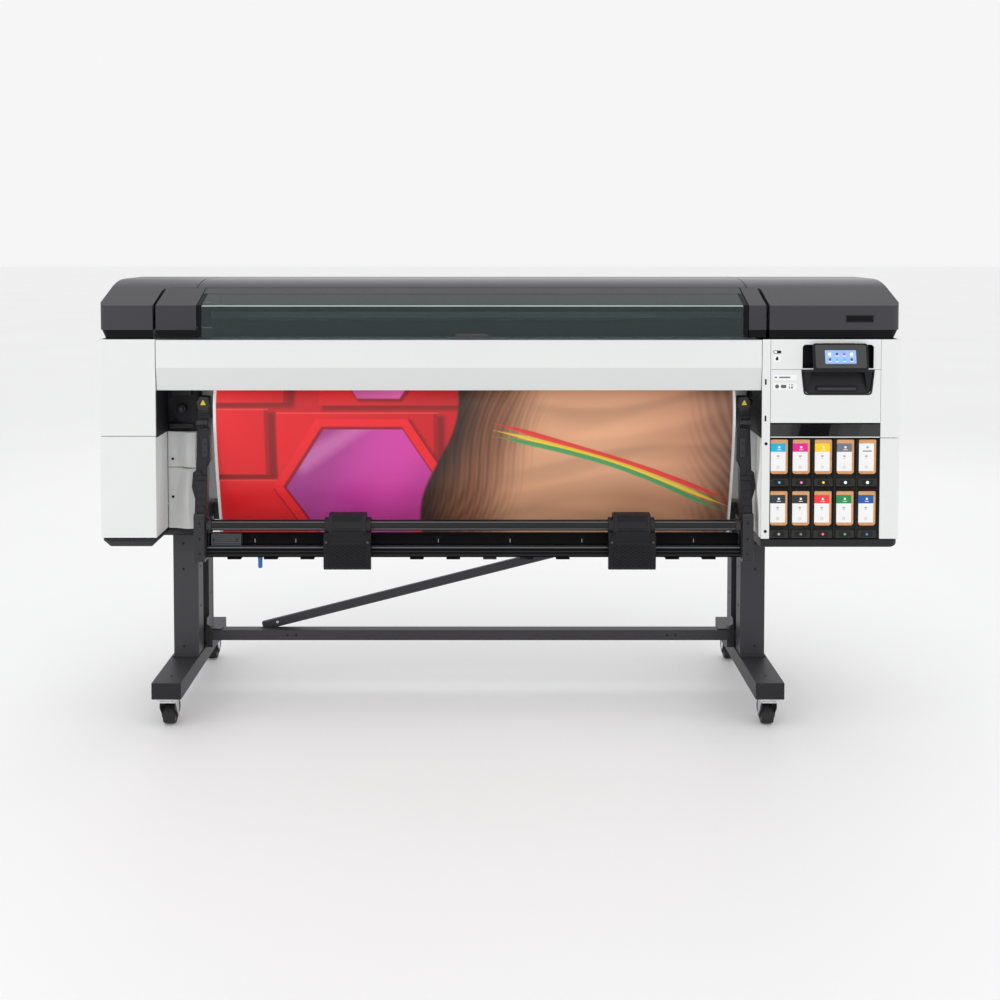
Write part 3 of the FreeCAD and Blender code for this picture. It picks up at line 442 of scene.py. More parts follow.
def cad_piece(node, m, body=None, b=1.2, seg=2, ang=24.0, paint=None, mats=None, sel=None, pre=None, name=None, extra=None, sharp=40.0):
    """A CAD node with its edges broken the way the real piece's are; paint(centre, normal) picks each face's finish."""
    bm = cad_bm(node)
    if pre:
        pre(bm)
    bevel(bm, b, seg, ang, sel)
    B = Build()
    B.mats = list(mats) if mats else [m]
    for f in bm.faces:
        f.material_index = paint(f.calc_center_median(), f.normal) if paint else 0
    B.join(bm)
    if extra:
        extra(B)
    body = body or frame["nodes"][node]["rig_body"]
    return B.done(name or node + "_piece", body, (node,), sharp)


def screw(B, axis, c, r, m, out=-1, h=1.6, hexa=True):
    """A pan-head screw: c is on the surface, out is the head's direction along the axis."""
    prof = [(0, r), (out * h * 0.5, r * 0.97), (out * h * 0.9, r * 0.8), (out * h, r * 0.55), (out * h, r * 0.42), (out * h * 0.2, r * 0.40), (out * h * 0.2, 0)]
    B.add(bm_lathe(axis, c, [(0, 0)] + prof, 20), m)


# ================================================================ STAND
for side in ("left", "right"):
    x0, x1, y0, y1, z0, z1 = nb("foot_" + side)
    B = Build()
    # steel tube, open inside, with pressed end caps
    bm = cad_bm("foot_" + side)
    for v in bm.verts:
        v.co.y *= (y1 - 3.5) / y1
    bevel(bm, 2.2, 3, 24)
    B.add(bm, STEEL)
    for ya, yb, s_ in ((y0, y0 + 4.2, -1), (y1 - 4.2, y1, 1)):
        B.add(bm_box(x0 + 0.8, x1 - 0.8, ya, yb, z0 + 0.8, z1 - 0.8, 1.8, 3), BLACK2)
        B.add(bm_box(x0 + 14, x1 - 14, y0 + 12 if s_ < 0 else y1 - 30, y0 + 30 if s_ < 0 else y1 - 12, z0 + 5, z1 - 5, 1.0), BLACK)
    cx = (x0 + x1) / 2
    for yy in (-262, -150, 170, 262):
        screw(B, "Z", (cx, yy, z1), 5.0, DARKM, out=1)
    B.done("foot_%s_piece" % side, "frame", ("foot_" + side,))

    def col_extra(B, side=side):
        a0, a1, b0, b1, c0, c1 = nb("column_" + side)
        cxx = (a0 + a1) / 2 + (-8 if side == "left" else 8)
        for zz in (512, 428, 176):
            screw(B, "Y", (cxx, b0, zz), 4.2, BLACK2)
            screw(B, "Y", (cxx, b1, zz), 4.2, BLACK2, out=1)
        inner = a1 if side == "left" else a0
        o = 1 if side == "left" else -1
        for zz in (176, 300, 430, 520):
            for yy in (-56, 91):
                screw(B, "X", (inner, yy, zz), 3.6, DARKM, out=o)
        # foot flange welded under the column
        B.add(bm_box(a0 - 4, a1 + 4 if side == "left" else a1 + 4, b0 - 6, b1 + 6, c0, c0 + 5, 1.5), STEEL)

    cad_piece("column_" + side, STEEL, b=3.0, seg=3, extra=col_extra)


def beam_extra(B):
    for x in (-700, -672, 560, 588):
        screw(B, "Y", (x, 4, 181), 4.0, BLACK2)
    B.add(bm_box(-955, -951, 5, 43, 166, 196, 0.8), DARKM)


cad_piece("cross_beam", STEEL, b=2.4, seg=3, extra=beam_extra)


def gus_extra(B):
    gx0, gx1 = nb("gusset_plates")[:2]
    for x in (gx0 + 12, gx1 - 12):
        for z in (156, 184, 204):
            screw(B, "Y", (x, 0, z), 3.6, DARKM)


cad_piece("gusset_plates", DARKM, b=0.8, extra=gus_extra)


def brace_extra(B):
    for x, z in ((-740, 212), (640, 553)):
        screw(B, "Y", (x, 44.0, z), 5.0, ZINC)


cad_piece("diagonal_brace", STEEL, b=2.4, seg=3, extra=brace_extra)

# casters
B = Build()
for x in (-1017.5, 825.0):
    for y in (-292.0, 292.0):
        bm = bm_prism("XY", rrect(x - 31, x + 31, y - 31, y + 31, 7), 85.3, 90.8, 0.7)
        B.add(bm, ZINC)
        for dx in (-23, 23):
            for dy in (-23, 23):
                B.add(bm_cyl("Z", (x + dx, y + dy, 82.6), 4.6, 3.0, 0.6, 6), CHROME)
        B.add(bm_ring("Z", (x, y, 83.9), 20.0, 25.0, 3.0, 0.6), CHROME)
B.done("caster_plates_piece", "frame", ("caster_plates",))

for tag, x, s in (("front_left", -1017.5, -1), ("front_right", 825.0, -1), ("rear_left", -1017.5, 1), ("rear_right", 825.0, 1)):
    y = 292.0 * s
    yw = y + 16.0
    B = Build()
    # king pin head, bearing cup and hooded fork
    B.add(bm_cyl("Z", (x, y, 79.5), 5.0, 11.0, 0.5, 24), ZINC)
    B.add(bm_lathe("Z", (x, y, 0), [(76, 0), (76, 21), (78, 23), (81, 23), (83.6, 19), (83.6, 0)], 40), CHROME)
    hood = rounded([(y - 21, 80), (y + 25, 80), (yw + 29, 52), (yw + 29, 40), (yw + 15, 20), (yw - 11, 19), (yw - 15, 34), (y - 23, 60)], [8, 10, 10, 6, 6, 6, 8, 8], 4)
    for xa, xb in ((x - 24, x - 21), (x + 21, x + 24)):
        B.add(bm_prism("YZ", hood, xa, xb, 0.9, 2), BLACK2)
    B.add(bm_box(x - 24.2, x + 24.2, y - 22, y + 25, 74.6, 80.6, 1.6), ZINC)
    for xs in (x - 24.6, x + 21.6):
        B.add(bm_prism("YZ", rounded([(y - 20, 78), (y + 22, 78), (yw + 8, 34), (yw - 8, 34)], [4, 4, 7, 7], 4), xs, xs + 3.0, 0.8), ZINC)
    B.add(bm_prism("YZ", [(y + 22, 80), (y + 26, 79), (yw + 29.5, 66), (yw + 29.5, 60), (yw + 26.5, 62), (y + 23, 75.6)], x - 22, x + 22, 0.9), BLACK2)
    B.add(bm_cyl("X", (x - 26.5, yw, 30.0), 4.0, 53.0, 0.6, 24), ZINC)
    for xa in (x - 26.8, x + 24.0):
        B.add(bm_cyl("X", (xa, yw, 30.0), 7.0, 2.8, 0.8, 6), ZINC)
    # foot-operated brake tab
    B.add(bm_prism("YZ", rounded([(yw + 16, 66), (yw + 27, 60), (yw + 29, 64), (yw + 18, 72)], 1.5, 3), x - 13, x + 13, 0.8), BLACK)
    B.done("caster_fork_%s_piece" % tag, "caster_" + tag, ("caster_fork_" + tag,))
    W = Build()
    tyre = [(-17.5, 21.5), (-18.5, 24), (-17.2, 28.2), (-13, 29.8), (-4, 30), (4, 30), (13, 29.8), (17.2, 28.2), (18.5, 24), (17.5, 21.5), (-17.5, 21.5)]
    bm = bm_lathe("X", (x, yw, 30.0), tyre, 56)
    bmesh.ops.remove_doubles(bm, verts=bm.verts, dist=1e-4)
    W.add(bm, RUBBER)
    hubp = [(-17.5, 4.3), (-18.4, 5), (-18.4, 9), (-15.5, 10.5), (-14.5, 18), (-17.0, 20), (-17.0, 21.5), (17.0, 21.5), (17.0, 20), (14.5, 18), (15.5, 10.5), (18.4, 9), (18.4, 5), (17.5, 4.3), (-17.5, 4.3)]
    bm = bm_lathe("X", (x, yw, 30.0), hubp, 56)
    bmesh.ops.remove_doubles(bm, verts=bm.verts, dist=1e-4)
    W.add(bm, HUB)
    for i in range(6):
        a = 2 * PI * i / 6
        for sx in (-16.2, 13.4):
            W.add(bm_cyl("X", (x + sx, yw + 14 * math.cos(a), 30 + 14 * math.sin(a)), 2.4, 2.8, 0.5, 12), HUB)
    W.done("caster_wheel_%s_piece" % tag, "wheel_" + tag, ("caster_wheel_" + tag,))

# ================================================================ HOUSINGS
cad_piece("base_trays", BLACK2, b=1.6, seg=2)


def split_cover(node, zs, m, b=1.6, name=None, extra=None, gap=0.7):
    """One CAD cover made of mouldings that meet at the heights zs."""
    x0, x1, y0, y1, z0, z1 = nb(node)
    levels = [z0 - 10] + list(zs) + [z1 + 10]
    for i in range(len(levels) - 1):
        bm = cad_bm(node)
        if levels[i] > z0:
            cut_away(bm, (0, 0, levels[i] + gap), (0, 0, -1))
        if levels[i + 1] < z1:
            cut_away(bm, (0, 0, levels[i + 1] - gap), (0, 0, 1))
        bevel(bm, b, 3, 24)
        B = Build()
        B.add(bm, m)
        if extra:
            extra(B, i)
        B.done("%s_part%d" % (name or node, i + 1), frame["nodes"][node]["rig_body"], (node,))


def left_seam(B, i):
    if i == 0:
        # dark line behind the seam between the two mouldings
        B.add(bm_box(-1217.5, -1054.5, -287.0, -285.5, 886, 900, 0.2, 1), BLACK)
        B.add(bm_box(-1218.0, -1216.5, -262.0, 190.0, 886, 900, 0.2, 1), BLACK)


split_cover("left_cover", [893.0], WHITE, extra=left_seam)


def inner_crease_painted_shade(B, i):
    if i == 0:
        # black strip in the crease between the two swellings, where the moulding swells towards the machine's middle:
        # painted shade
        B.add(bm_box(-1050, -960, -147.5, -146.2, 764, 780, 0.2, 1), BLACK)


split_cover("left_inner_cover", [772.0], WHITE2, extra=inner_crease_painted_shade)


def right_seam(B, i):
    if i == 0:
        B.add(bm_box(1164.0, 1190.0, -287.2, -285.8, 880, 896, 0.2, 1), BLACK)
        B.add(bm_box(1217.2, 1218.8, -262.0, 190.0, 880, 896, 0.2, 1), BLACK)


split_cover("right_side_cover", [888.0], WHITE, extra=right_seam)


def ric_extra(B):
    for z in (870, 600):
        screw(B, "Y", (814, -290, z), 4.8, BLACK)
    for z in (1060, 948):
        B.add(bm_prism("XZ", rrect(809, 814, z - 9, z + 9, 2.4), -290.9, -289.5, 0.3), BLACK)


cad_piece("right_inner_cover", WHITE, b=1.2, extra=ric_extra)


def liner_extra(B):
    # latch and cable clips in the dark upper recess on the left
    B.add(bm_cyl("Y", (-1003, -168, 960), 15, 18, 3, 28), BLACK2)
    B.add(bm_cyl("Y", (-1003, -178, 960), 8, 12, 2, 24), DARKM)
    B.add(bm_box(-1036, -972, -160, -150.5, 1000, 1026, 3), BLACK2)
    B.add(bm_box(-1044, -966, -156, -150.5, 896, 912, 2), BLACK2)
    for z in (925, 990):
        screw(B, "Y", (-1038, -150, z), 3.4, DARKM)
        screw(B, "Y", (-970, -150, z), 3.4, DARKM)
    for yy in (-250, -140, 0, 110):
        screw(B, "X", (799, yy, 1010), 3.4, DARKM, out=-1)
        if yy < 100:
            screw(B, "X", (799, yy, 905), 3.4, DARKM, out=-1)


cad_piece("side_liners", BLACK, b=0.8, extra=liner_extra)


def round_corners(x_pairs, zs, r, tol=4.0, n=6):
    def run(bm):
        bm.normal_update()
        es = []
        for e in bm.edges:
            a, c = e.verts[0].co, e.verts[1].co
            if abs(a.x - c.x) < 0.05 and abs(a.z - c.z) < 0.05 and abs(a.y - c.y) > 0.5:
                if any(abs(a.x - x) < tol for x in x_pairs) and any(abs(a.z - z) < tol for z in zs) and e.is_manifold:
                    es.append(e)
        if es:
            bmesh.ops.bevel(bm, geom=es, offset=r, offset_type="OFFSET", segments=n, profile=0.5, affect="EDGES", clamp_overlap=True)
    return run


def in_recess(c, n):
    return 1 if (c.y > -289.2 and 920.5 < c.x < 1142.5) or (922.8 < c.x < 1140.2 and c.y > -289.9 and 1099 < c.z < 1174.5) else 0


def rtp_extra(B):
    # frame of the recess, and mark plates that carry no text
    B.add(bm_prism("XZ", rrect(834, 858, 1147, 1156, 3.5), -290.8, -289.6, 0.3), BLACK2)
    B.add(bm_prism("XZ", rrect(835.5, 845, 1148.5, 1154.5, 2.4), -291.0, -289.6, 0.2), LABEL)
    B.add(bm_prism("XZ", rrect(834, 856, 1120, 1141, 1.2), -290.5, -289.6, 0.1), LABEL)
    B.add(bm_prism("XZ", rounded([(841, 1126), (849, 1126), (849, 1136), (845, 1138), (841, 1133)], 1.0, 2), -290.8, -289.6, 0.1), BLACK2)
    # hinge post of the touch module
    B.add(bm_box(985, 1093, -292, -262, 1160, 1172, 3), BLACK)


cad_piece("right_top_panel", WHITE, b=1.0, mats=[WHITE, BLACK], paint=in_recess, pre=round_corners((921, 1142, 923, 1140), (1176, 1174), 10), extra=rtp_extra)


def scoop_paint(c, n):
    # inside of the scoop is black, and so is the rim that lines up with the recess above it
    if c.y > -289.0 and 915 < c.x < 1146 and c.z > 1018:
        return 1
    return 0


def door_extra(B):
    x0, x1 = 921, 1142
    # black bezel round the scoop
    outer = rounded([(919, 1097.2), (927.5, 1019.5), (1135.5, 1019.5), (1144, 1097.2)], [0, 12, 12, 0], 6)
    inner = rounded([(923.4, 1090), (932, 1024.6), (1131, 1024.6), (1139.6, 1090)], [0, 9, 9, 0], 6)
    bm = bmesh.new()
    vo = [bm.verts.new((p[0], -290.9, p[1])) for p in outer]
    vi = [bm.verts.new((p[0], -290.9, p[1])) for p in inner]
    k = len(vo)
    for i in range(k):
        bm.faces.new((vo[i], vo[(i + 1) % k], vi[(i + 1) % k], vi[i]))
    r = bmesh.ops.extrude_face_region(bm, geom=list(bm.faces))
    bmesh.ops.translate(bm, vec=(0, 1.4, 0), verts=[g for g in r["geom"] if isinstance(g, bmesh.types.BMVert)])
    recalc(bm)
    bevel(bm, 0.4, 2, 30)
    B.add(bm, BLACK2)
    # sloping inner face with the hand slot
    B.add(bm_prism("YZ", [(-289.6, 1025.5), (-287.6, 1025.5), (-263, 1089.5), (-266, 1089.5)], 934, 1129, 0.6), BLACK2)
    B.add(bm_prism("XZ", rrect(964, 1093, 1031, 1047, 7.5), -289.9, -281, 1.2), BLACK)
    B.add(bm_prism("XZ", rrect(970, 1087, 1035.5, 1042.5, 3.4), -290.3, -289, 0.4), BLACKG)
    # side cheeks that taper into the slope
    for a, b_, s in ((926, 950, 1), (1137, 1113, -1)):
        B.add(bm_prism("XZ", rounded([(a, 1090), (a + s * 7, 1026), (b_ - s * 8, 1026), (b_, 1090)], 2, 3), -288.5, -272, 1.0), BLACK)
    # blank label areas on the door
    B.add(bm_prism("XZ", rrect(834, 905, 1066, 1082, 1.5), -290.35, -289.6, 0.1), LABEL)
    B.add(bm_prism("XZ", rrect(834, 905, 1036, 1056, 1.5), -290.35, -289.6, 0.1), LABEL)
    for i, (xa, w_) in enumerate(((838, 8), (852, 34))):
        B.add(bm_prism("XZ", rrect(xa, xa + w_, 1072, 1076, 1.2), -290.6, -289.9, 0.1), RUBGREY if i else BLUE)
    B.add(bm_cyl("Y", (846, -290.7, 1046), 6.0, 0.9, 0.2, 24), RUBGREY)
    B.add(bm_prism("XZ", rrect(858, 874, 1041, 1051, 1.2), -290.6, -289.9, 0.1), RUBGREY)
    for i in range(4):
        for j in range(4):
            if (i * 7 + j * 5 + i * j) % 3 != 1:
                B.add(bm_box(882 + i * 3.2, 884.6 + i * 3.2, -290.6, -289.9, 1040 + j * 3.2, 1042.6 + j * 3.2, 0.0, 1), BLACK2)


cad_piece("service_door", WHITE, b=1.0, mats=[WHITE, BLACK], paint=scoop_paint, pre=round_corners((930, 1133, 932, 1131), (1022, 1024), 10), extra=door_extra)

# ---- touch module
TP = nb("touch_panel")
B = Build()
w_, h_ = 168.0, 82.0
bm = bm_prism("XZ", rrect(-w_ / 2, w_ / 2, -h_ / 2, h_ / 2, 9, 6), 0, 9.0, 2.2, 3)
B2 = [(bm, BLACK)]
B2.append((bm_prism("XZ", rrect(-w_ / 2 + 7, w_ / 2 - 7, -h_ / 2 + 6, h_ / 2 - 5, 6, 5), -1.2, 1.0, 0.7), BLACKG))
DISP = mat("display_glow", lin(120, 150, 200), rough=0.25, var=0.16, var_scale=30, grain=400, bump=0.0, emit=lin(150, 175, 215) + (0.45,))
ICW = mat("icon_white", (0.9, 0.92, 0.95), rough=0.4, var=0.02, bump=0.0, emit=(0.9, 0.92, 0.95, 0.5))
ICD = mat("icon_navy", lin(50, 60, 110), rough=0.4, var=0.05, bump=0.0, emit=lin(50, 60, 110) + (0.4,))
ICC = mat("icon_cyan", lin(60, 160, 205), rough=0.4, var=0.05, bump=0.0, emit=lin(60, 160, 205) + (0.5,))
ICP = mat("icon_violet", lin(130, 90, 170), rough=0.4, var=0.05, bump=0.0, emit=lin(130, 90, 170) + (0.4,))
dx, dz = -1.0, -1.0
B2.append((bm_prism("XZ", rrect(dx - 47, dx + 47, dz - 20.5, dz + 20.5, 1.0, 2), -1.6, -0.9, 0.1), DISP))
k = 0
for r_, zz in ((0, 8.0), (1, -8.5)):
    for c_ in range(4):
        xx = dx - 33 + c_ * 22
        mt = [ICW, ICD, ICP, ICW, ICD, ICC, ICC, ICD][k]
        shape = k % 3
        if shape == 0:
            B2.append((bm_prism("XZ", rrect(xx - 4, xx + 4, zz - 3.6, zz + 3.6, 1.4, 3), -1.9, -1.5, 0.1), mt))
        elif shape == 1:
            B2.append((bm_cyl("Y", (xx, -1.9, zz), 4.0, 0.4, 0.1, 24), mt))
        else:
            B2.append((bm_prism("XZ", rounded([(xx - 4, zz - 3.5), (xx + 4, zz - 3.5), (xx + 4, zz + 1), (xx, zz + 4.2), (xx - 4, zz + 1)], 0.8, 2), -1.9, -1.5, 0.1), mt))
        B2.append((bm_prism("XZ", rrect(xx - 5, xx + 5, zz - 6.6, zz - 5.6, 0.4, 2), -1.8, -1.5, 0.0), ICW))
        k += 1
# rear shell of the module
B2.append((bm_prism("XZ", rrect(-w_ / 2 + 5, w_ / 2 - 5, -h_ / 2 + 6, h_ / 2 - 3, 8, 4), 8.5, 13.5, 2.0), BLACK))
tilt = Matrix.Translation(((TP[0] + TP[1]) / 2, -316.2, 1139.6)) @ Matrix.Rotation(math.radians(-12.4), 4, "X")
for part, mt in B2:
    xform(part, tilt)
    B.add(part, mt)
B.add(bm_cyl("X", ((TP[0] + TP[1]) / 2 - 49, -296.2, 1174.0), 5.0, 98, 1.0, 24), BLACK)
B.done("touch_panel_piece", "touch_module", ("touch_panel",))

# ---- soft swellings of the white mouldings behind the left arm and beside the ink bay
def swelling(name, plane, u0, u1, z0, z1, base, height, shape, m):
    nu, nz = 26, 44
    bm = bmesh.new()
    put = (lambda u, h, z: (u, base - h, z)) if plane == "XZ" else (lambda u, h, z: (base - h, u, z))
    g = []
    for j in range(nz + 1):
        row = []
        for i in range(nu + 1):
            a, t = i / nu, j / nz
            row.append(bm.verts.new(put(u0 + (u1 - u0) * a, height * shape(a, t), z0 + (z1 - z0) * t)))
        g.append(row)
    for j in range(nz):
        for i in range(nu):
            bm.faces.new((g[j][i], g[j][i + 1], g[j + 1][i + 1], g[j + 1][i]))
    rim = [e for e in bm.edges if e.is_boundary]
    r = bmesh.ops.extrude_edge_only(bm, edges=rim)
    vs = [q for q in r["geom"] if isinstance(q, bmesh.types.BMVert)]
    for v in vs:
        if plane == "XZ":
            v.co.y = base + 1.0
        else:
            v.co.x = base + 1.0
    bmesh.ops.holes_fill(bm, edges=[e for e in bm.edges if e.is_boundary], sides=0)
    recalc(bm)
    B = Build()
    B.add(bm, m)
    return B.done(name, "frame", sharp=60)


def st(x, a, b):
    t = max(0.0, min(1.0, (x - a) / (b - a)))
    return t * t * (3 - 2 * t)


swelling("left_inner_swell_low", "XZ", -1049.0, -958.0, 578.0, 769.0, -150.0, 27.0,
         lambda a, t: 0.02 + st(a, 0.16 + 0.20 * st(t, 0.35, 1.0), 0.72) * (1 - 0.55 * st(a, 0.74, 1.0)) * (0.25 + 0.75 * math.sin(PI * min(1, max(0, 0.12 + 0.80 * t)))), WHITE2)
swelling("left_inner_swell_high", "XZ", -1049.0, -958.0, 775.0, 885.0, -150.0, 25.0,
         lambda a, t: 0.02 + st(a, 0.30 - 0.12 * t, 0.80) * (0.35 + 0.65 * math.sin(PI * min(1, 0.25 + 0.62 * t))), WHITE2)
for zz, name in ((799, "left_inner_screw_high"), (678, "left_inner_screw_low")):
    B = Build()
    B.add(bm_ring("Y", (-1035, -152.4, zz), 4.2, 7.0, 2.6, 0.6, 28), WHITE2)
    screw(B, "Y", (-1035, -151.2, zz), 4.4, BLACK2, h=2.0)
    B.done(name, "frame")
# wavy inner edge of the white moulding on the right, seen past the arm
B = Build()
bm = bmesh.new()
prof_ = []
for i in range(33):
    t = i / 32
    z = 582 + 304 * t
    d = 3.2 + 8.5 * math.sin(PI * t) ** 2 * (0.75 + 0.25 * math.cos(4 * PI * t)) + 3.0 * (1 - t) ** 2
    prof_.append((d, z))
va = [bm.verts.new((801.4 - d, -284.0, z)) for d, z in prof_]
vb = [bm.verts.new((801.4 - d * 0.55, -236.0, z)) for d, z in prof_]
vc = [bm.verts.new((801.4, -200.0, z)) for d, z in prof_]
vd = [bm.verts.new((801.4, -287.0, z)) for d, z in prof_]
for i in range(32):
    for p_, q_ in ((vd, va), (va, vb), (vb, vc), (vc, vd)):
        bm.faces.new((p_[i], q_[i], q_[i + 1], p_[i + 1]))
for i in (0, 32):
    bm.faces.new((va[i], vb[i], vc[i], vd[i]))
recalc(bm)
B.add(bm, WHITE2)
B.done("right_inner_swell", "frame", sharp=50)


# ---- rear
def rear_extra(B):
    for x in list(range(-1190, -970, 55)) + list(range(830, 1200, 60)):
        for z in (606, 1160):
            screw(B, "Y", (x, 200, z), 3.6, DARKM, out=1)
    # louvres over the fans
    for x0 in (-1180, 860):
        for i in range(14):
            B.add(bm_prism("XZ", rrect(x0, x0 + 150, 1010 - i * 14, 1016 - i * 14, 2.5, 3), 199.0, 202.0, 0.8), BLACK)
    for i in range(17):
        B.add(bm_box(-930 + i * 105, -929 + i * 105 + 2, 199.5, 201.2, 1008, 1182, 0.4), GREY)
    B.add(bm_box(-957, 801, 196.5, 202.5, 1000, 1008, 1.2), BLACK2)
    # backing behind the seams between the three panels
    for xs in (-957.0, 801.0):
        B.add(bm_box(xs - 7, xs + 7, 194.5, 197.4, 1003, 1189, 0.4), BLACK)
    B.add(bm_prism("XZ", rrect(1028, 1102, 630, 678, 5), 199.4, 202.4, 0.8), BLACK2)
    # sockets for data leads, and a blank rating plate
    for i, x in enumerate((950, 975)):
        B.add(bm_prism("XZ", rrect(x, x + 17, 640, 654, 1.5), 199.4, 201.4, 0.5), ZINC)
        B.add(bm_prism("XZ", rrect(x + 2.5, x + 14.5, 642.5, 651.5, 1.0), 201.0, 201.9, 0.2), BLACKG)
    B.add(bm_prism("XZ", rrect(870, 925, 630, 670, 2), 199.6, 200.7, 0.2), LABEL)


bm = cad_bm("rear_panels")
Bp = Build()
bevel(bm, 0.9, 2, 24)
Bp.mats = [WHITE, GREY]
for f in bm.faces:
    c = f.calc_center_median()
    f.material_index = 1 if -957.5 < c.x < 801.5 and c.z > 999 else 0
Bp.join(bm)
rear_extra(Bp)
# the plug opening shows the socket piece behind it
Bp.done("rear_panels_piece", "frame", ("rear_panels",))
frame["nodes"]["power_inlet"].data.materials.clear()
frame["nodes"]["power_inlet"].data.materials.append(BLACK)

# ================================================================ INK BAY
BAYM = mat("bay_black", (0.010, 0.0095, 0.009), rough=0.4, var=0.15, grain=900, bump=0.25, edge=0.01, spec=0.2)
PLATEM = mat("bay_plate", (0.022, 0.021, 0.020), rough=0.35, var=0.1, grain=1200, bump=0.15, spec=0.25)
row_a = [lin(0, 174, 219), lin(226, 0, 140), lin(252, 209, 22), lin(110, 116, 124), None]
row_b = [lin(28, 44, 58), lin(30, 28, 30), lin(238, 52, 44), lin(0, 140, 74), lin(0, 84, 168)]
led_a = [lin(40, 170, 205), lin(235, 120, 180), lin(240, 205, 40), lin(205, 220, 225), lin(220, 230, 235)]
led_b = [lin(150, 150, 150), lin(110, 105, 100), lin(235, 90, 90), lin(60, 160, 95), lin(60, 110, 200)]


def bay_extra(B):
    for row, led, z in (("a", led_a, 751.0), ("b", led_b, 591.5)):
        for i in range(5):
            x = 855.5 + 67.5 * i
            B.add(bm_prism("XZ", rrect(x - 29, x + 29, z - 12, z + 12, 3.0, 4), -289.4, -287.2, 0.7), PLATEM)
            B.add(bm_prism("XZ", rrect(x - 17, x + 17, z - 8, z + 8, 3.0, 4), -290.0, -288.2, 0.6), BAYM)
            B.add(bm_cyl("Y", (x, -290.9, z), 3.6 if i < 3 or row == "b" else 4.6, 2.2, 0.8, 20), mat("led_%s%d" % (row, i), led[i], rough=0.3, var=0.05, bump=0.0, emit=led[i] + (0.55,)))
            B.add(bm_ring("Y", (x, -290.3, z), 4.4, 6.0, 1.6, 0.4, 24), BLACKG)
    for i in range(4):
        x = 855.5 + 67.5 * (i + 0.5)
        B.add(bm_prism("XZ", rrect(x - 2.5, x + 2.5, 582, 884, 1.5, 3), -290.0, -287.5, 0.5), BAYM)
    # light lip under the gloss strip
    B.add(bm_box(827, 1162, -290, -287.2, 889, 893.4, 0.8), WHITE)


def strip_paint(c, n):
    return 1 if c.z > 891 else 0


cad_piece("ink_bay", BAYM, b=0.8, mats=[BAYM, BLACKG], paint=strip_paint, extra=bay_extra)

for row, cols, low in (("a", row_a, 776.0), ("b", row_b, 617.0)):
    for i in range(5):
        node = "ink_cartridge_%s%d" % (row, i + 1)
        x0, x1, y0, y1, z0, z1 = nb(node)
        B = Build()
        prof = [(x0, z0 + 6), (x0 + 6, z0), (x1 - 6, z0), (x1, z0 + 6), (x1, z1 - 3), (x1 - 3, z1), (x0 + 3, z1), (x0, z1 - 3)]
        B.add(bm_prism("XZ", prof, y0 + 0.6, y1, 1.4, 3), KRAFT)
        # printed label with its colour band and plain marks
        lx0, lx1, lz0, lz1 = x0 + 0.8, x1 - 7.5, z0 + 10, z1 - 12.5
        B.add(bm_prism("XZ", rrect(lx0, lx1, lz0, lz1, 1.2, 3), y0 + 0.15, y0 + 1.2, 0.1), LABEL)
        cx = (lx0 + lx1) / 2
        col = cols[i]
        bz0, bz1 = lz1 - 25.5, lz1 + 0.2
        if col is not None:
            cm = mat("ink_band_%s%d" % (row, i), col, rough=0.4, var=0.03, grain=900, bump=0.05)
            B.add(bm_prism("XZ", rrect(lx0, lx1, bz0, bz1, 1.0, 3), y0 + 0.0, y0 + 1.0, 0.1), cm)
            B.add(bm_cyl("Y", (cx + 3, y0 - 0.15, bz0 + 14), 3.6, 0.5, 0.1, 20), LABEL)
            B.add(bm_prism("XZ", rrect(cx - 3.5, cx + 9.5, bz0 + 5.5, bz0 + 7.3, 0.6, 2), y0 - 0.1, y0 + 0.5, 0.05), LABEL)
        else:
            B.add(bm_cyl("Y", (cx + 3, y0 - 0.1, bz0 + 14), 4.2, 0.6, 0.1, 20), ICC)
            B.add(bm_prism("XZ", rrect(cx - 12, cx + 16, bz0 + 1.0, bz0 + 3.6, 0.8, 2), y0 - 0.05, y0 + 0.6, 0.05), BLACK2)
        gm = mat("label_grey", (0.42, 0.42, 0.43), rough=0.5, var=0.03, bump=0.02)
        B.add(bm_prism("XZ", rounded([(cx - 3, lz0 + 43), (cx + 3, lz0 + 43), (cx + 5, lz0 + 48), (cx - 5, lz0 + 48)], 0.8, 2), y0 - 0.05, y0 + 0.6, 0.05), gm)
        B.add(bm_prism("XZ", rrect(cx - 3, cx + 3, lz0 + 38.5, lz0 + 40, 0.5, 2), y0 - 0.05, y0 + 0.6, 0.05), gm)
        B.add(bm_ring("Y", (cx, y0 - 0.1, lz0 + 12), 3.2, 4.4, 0.6, 0.1, 24), gm)
        # pull lip at the foot of the case
        B.add(bm_box(x0 + 10, x1 - 10, y0 - 0.6, y0 + 2.0, z0 + 2.0, z0 + 5.5, 0.8), KRAFT)
        B.done(node + "_piece", "cartridge_%s%d" % (row, i + 1), (node,))

# ================================================================ TOP
YF, YR = -290.0, 200.0
CROWN = []
for i_ in range(13):
    t_ = i_ / 12
    CROWN.append(((1 - t_) ** 2 * -155.0 + 2 * t_ * (1 - t_) * -89.0 + t_ * t_ * -14.0, (1 - t_) ** 2 * 1342.0 + (1 - (1 - t_) ** 2) * 1366.0))
PROF = [(-290.0, 1219.0), (-290.0, 1293.0)] + CROWN + [(186.0, 1366.0), (200.0, 1352.0), (200.0, 1219.0)]


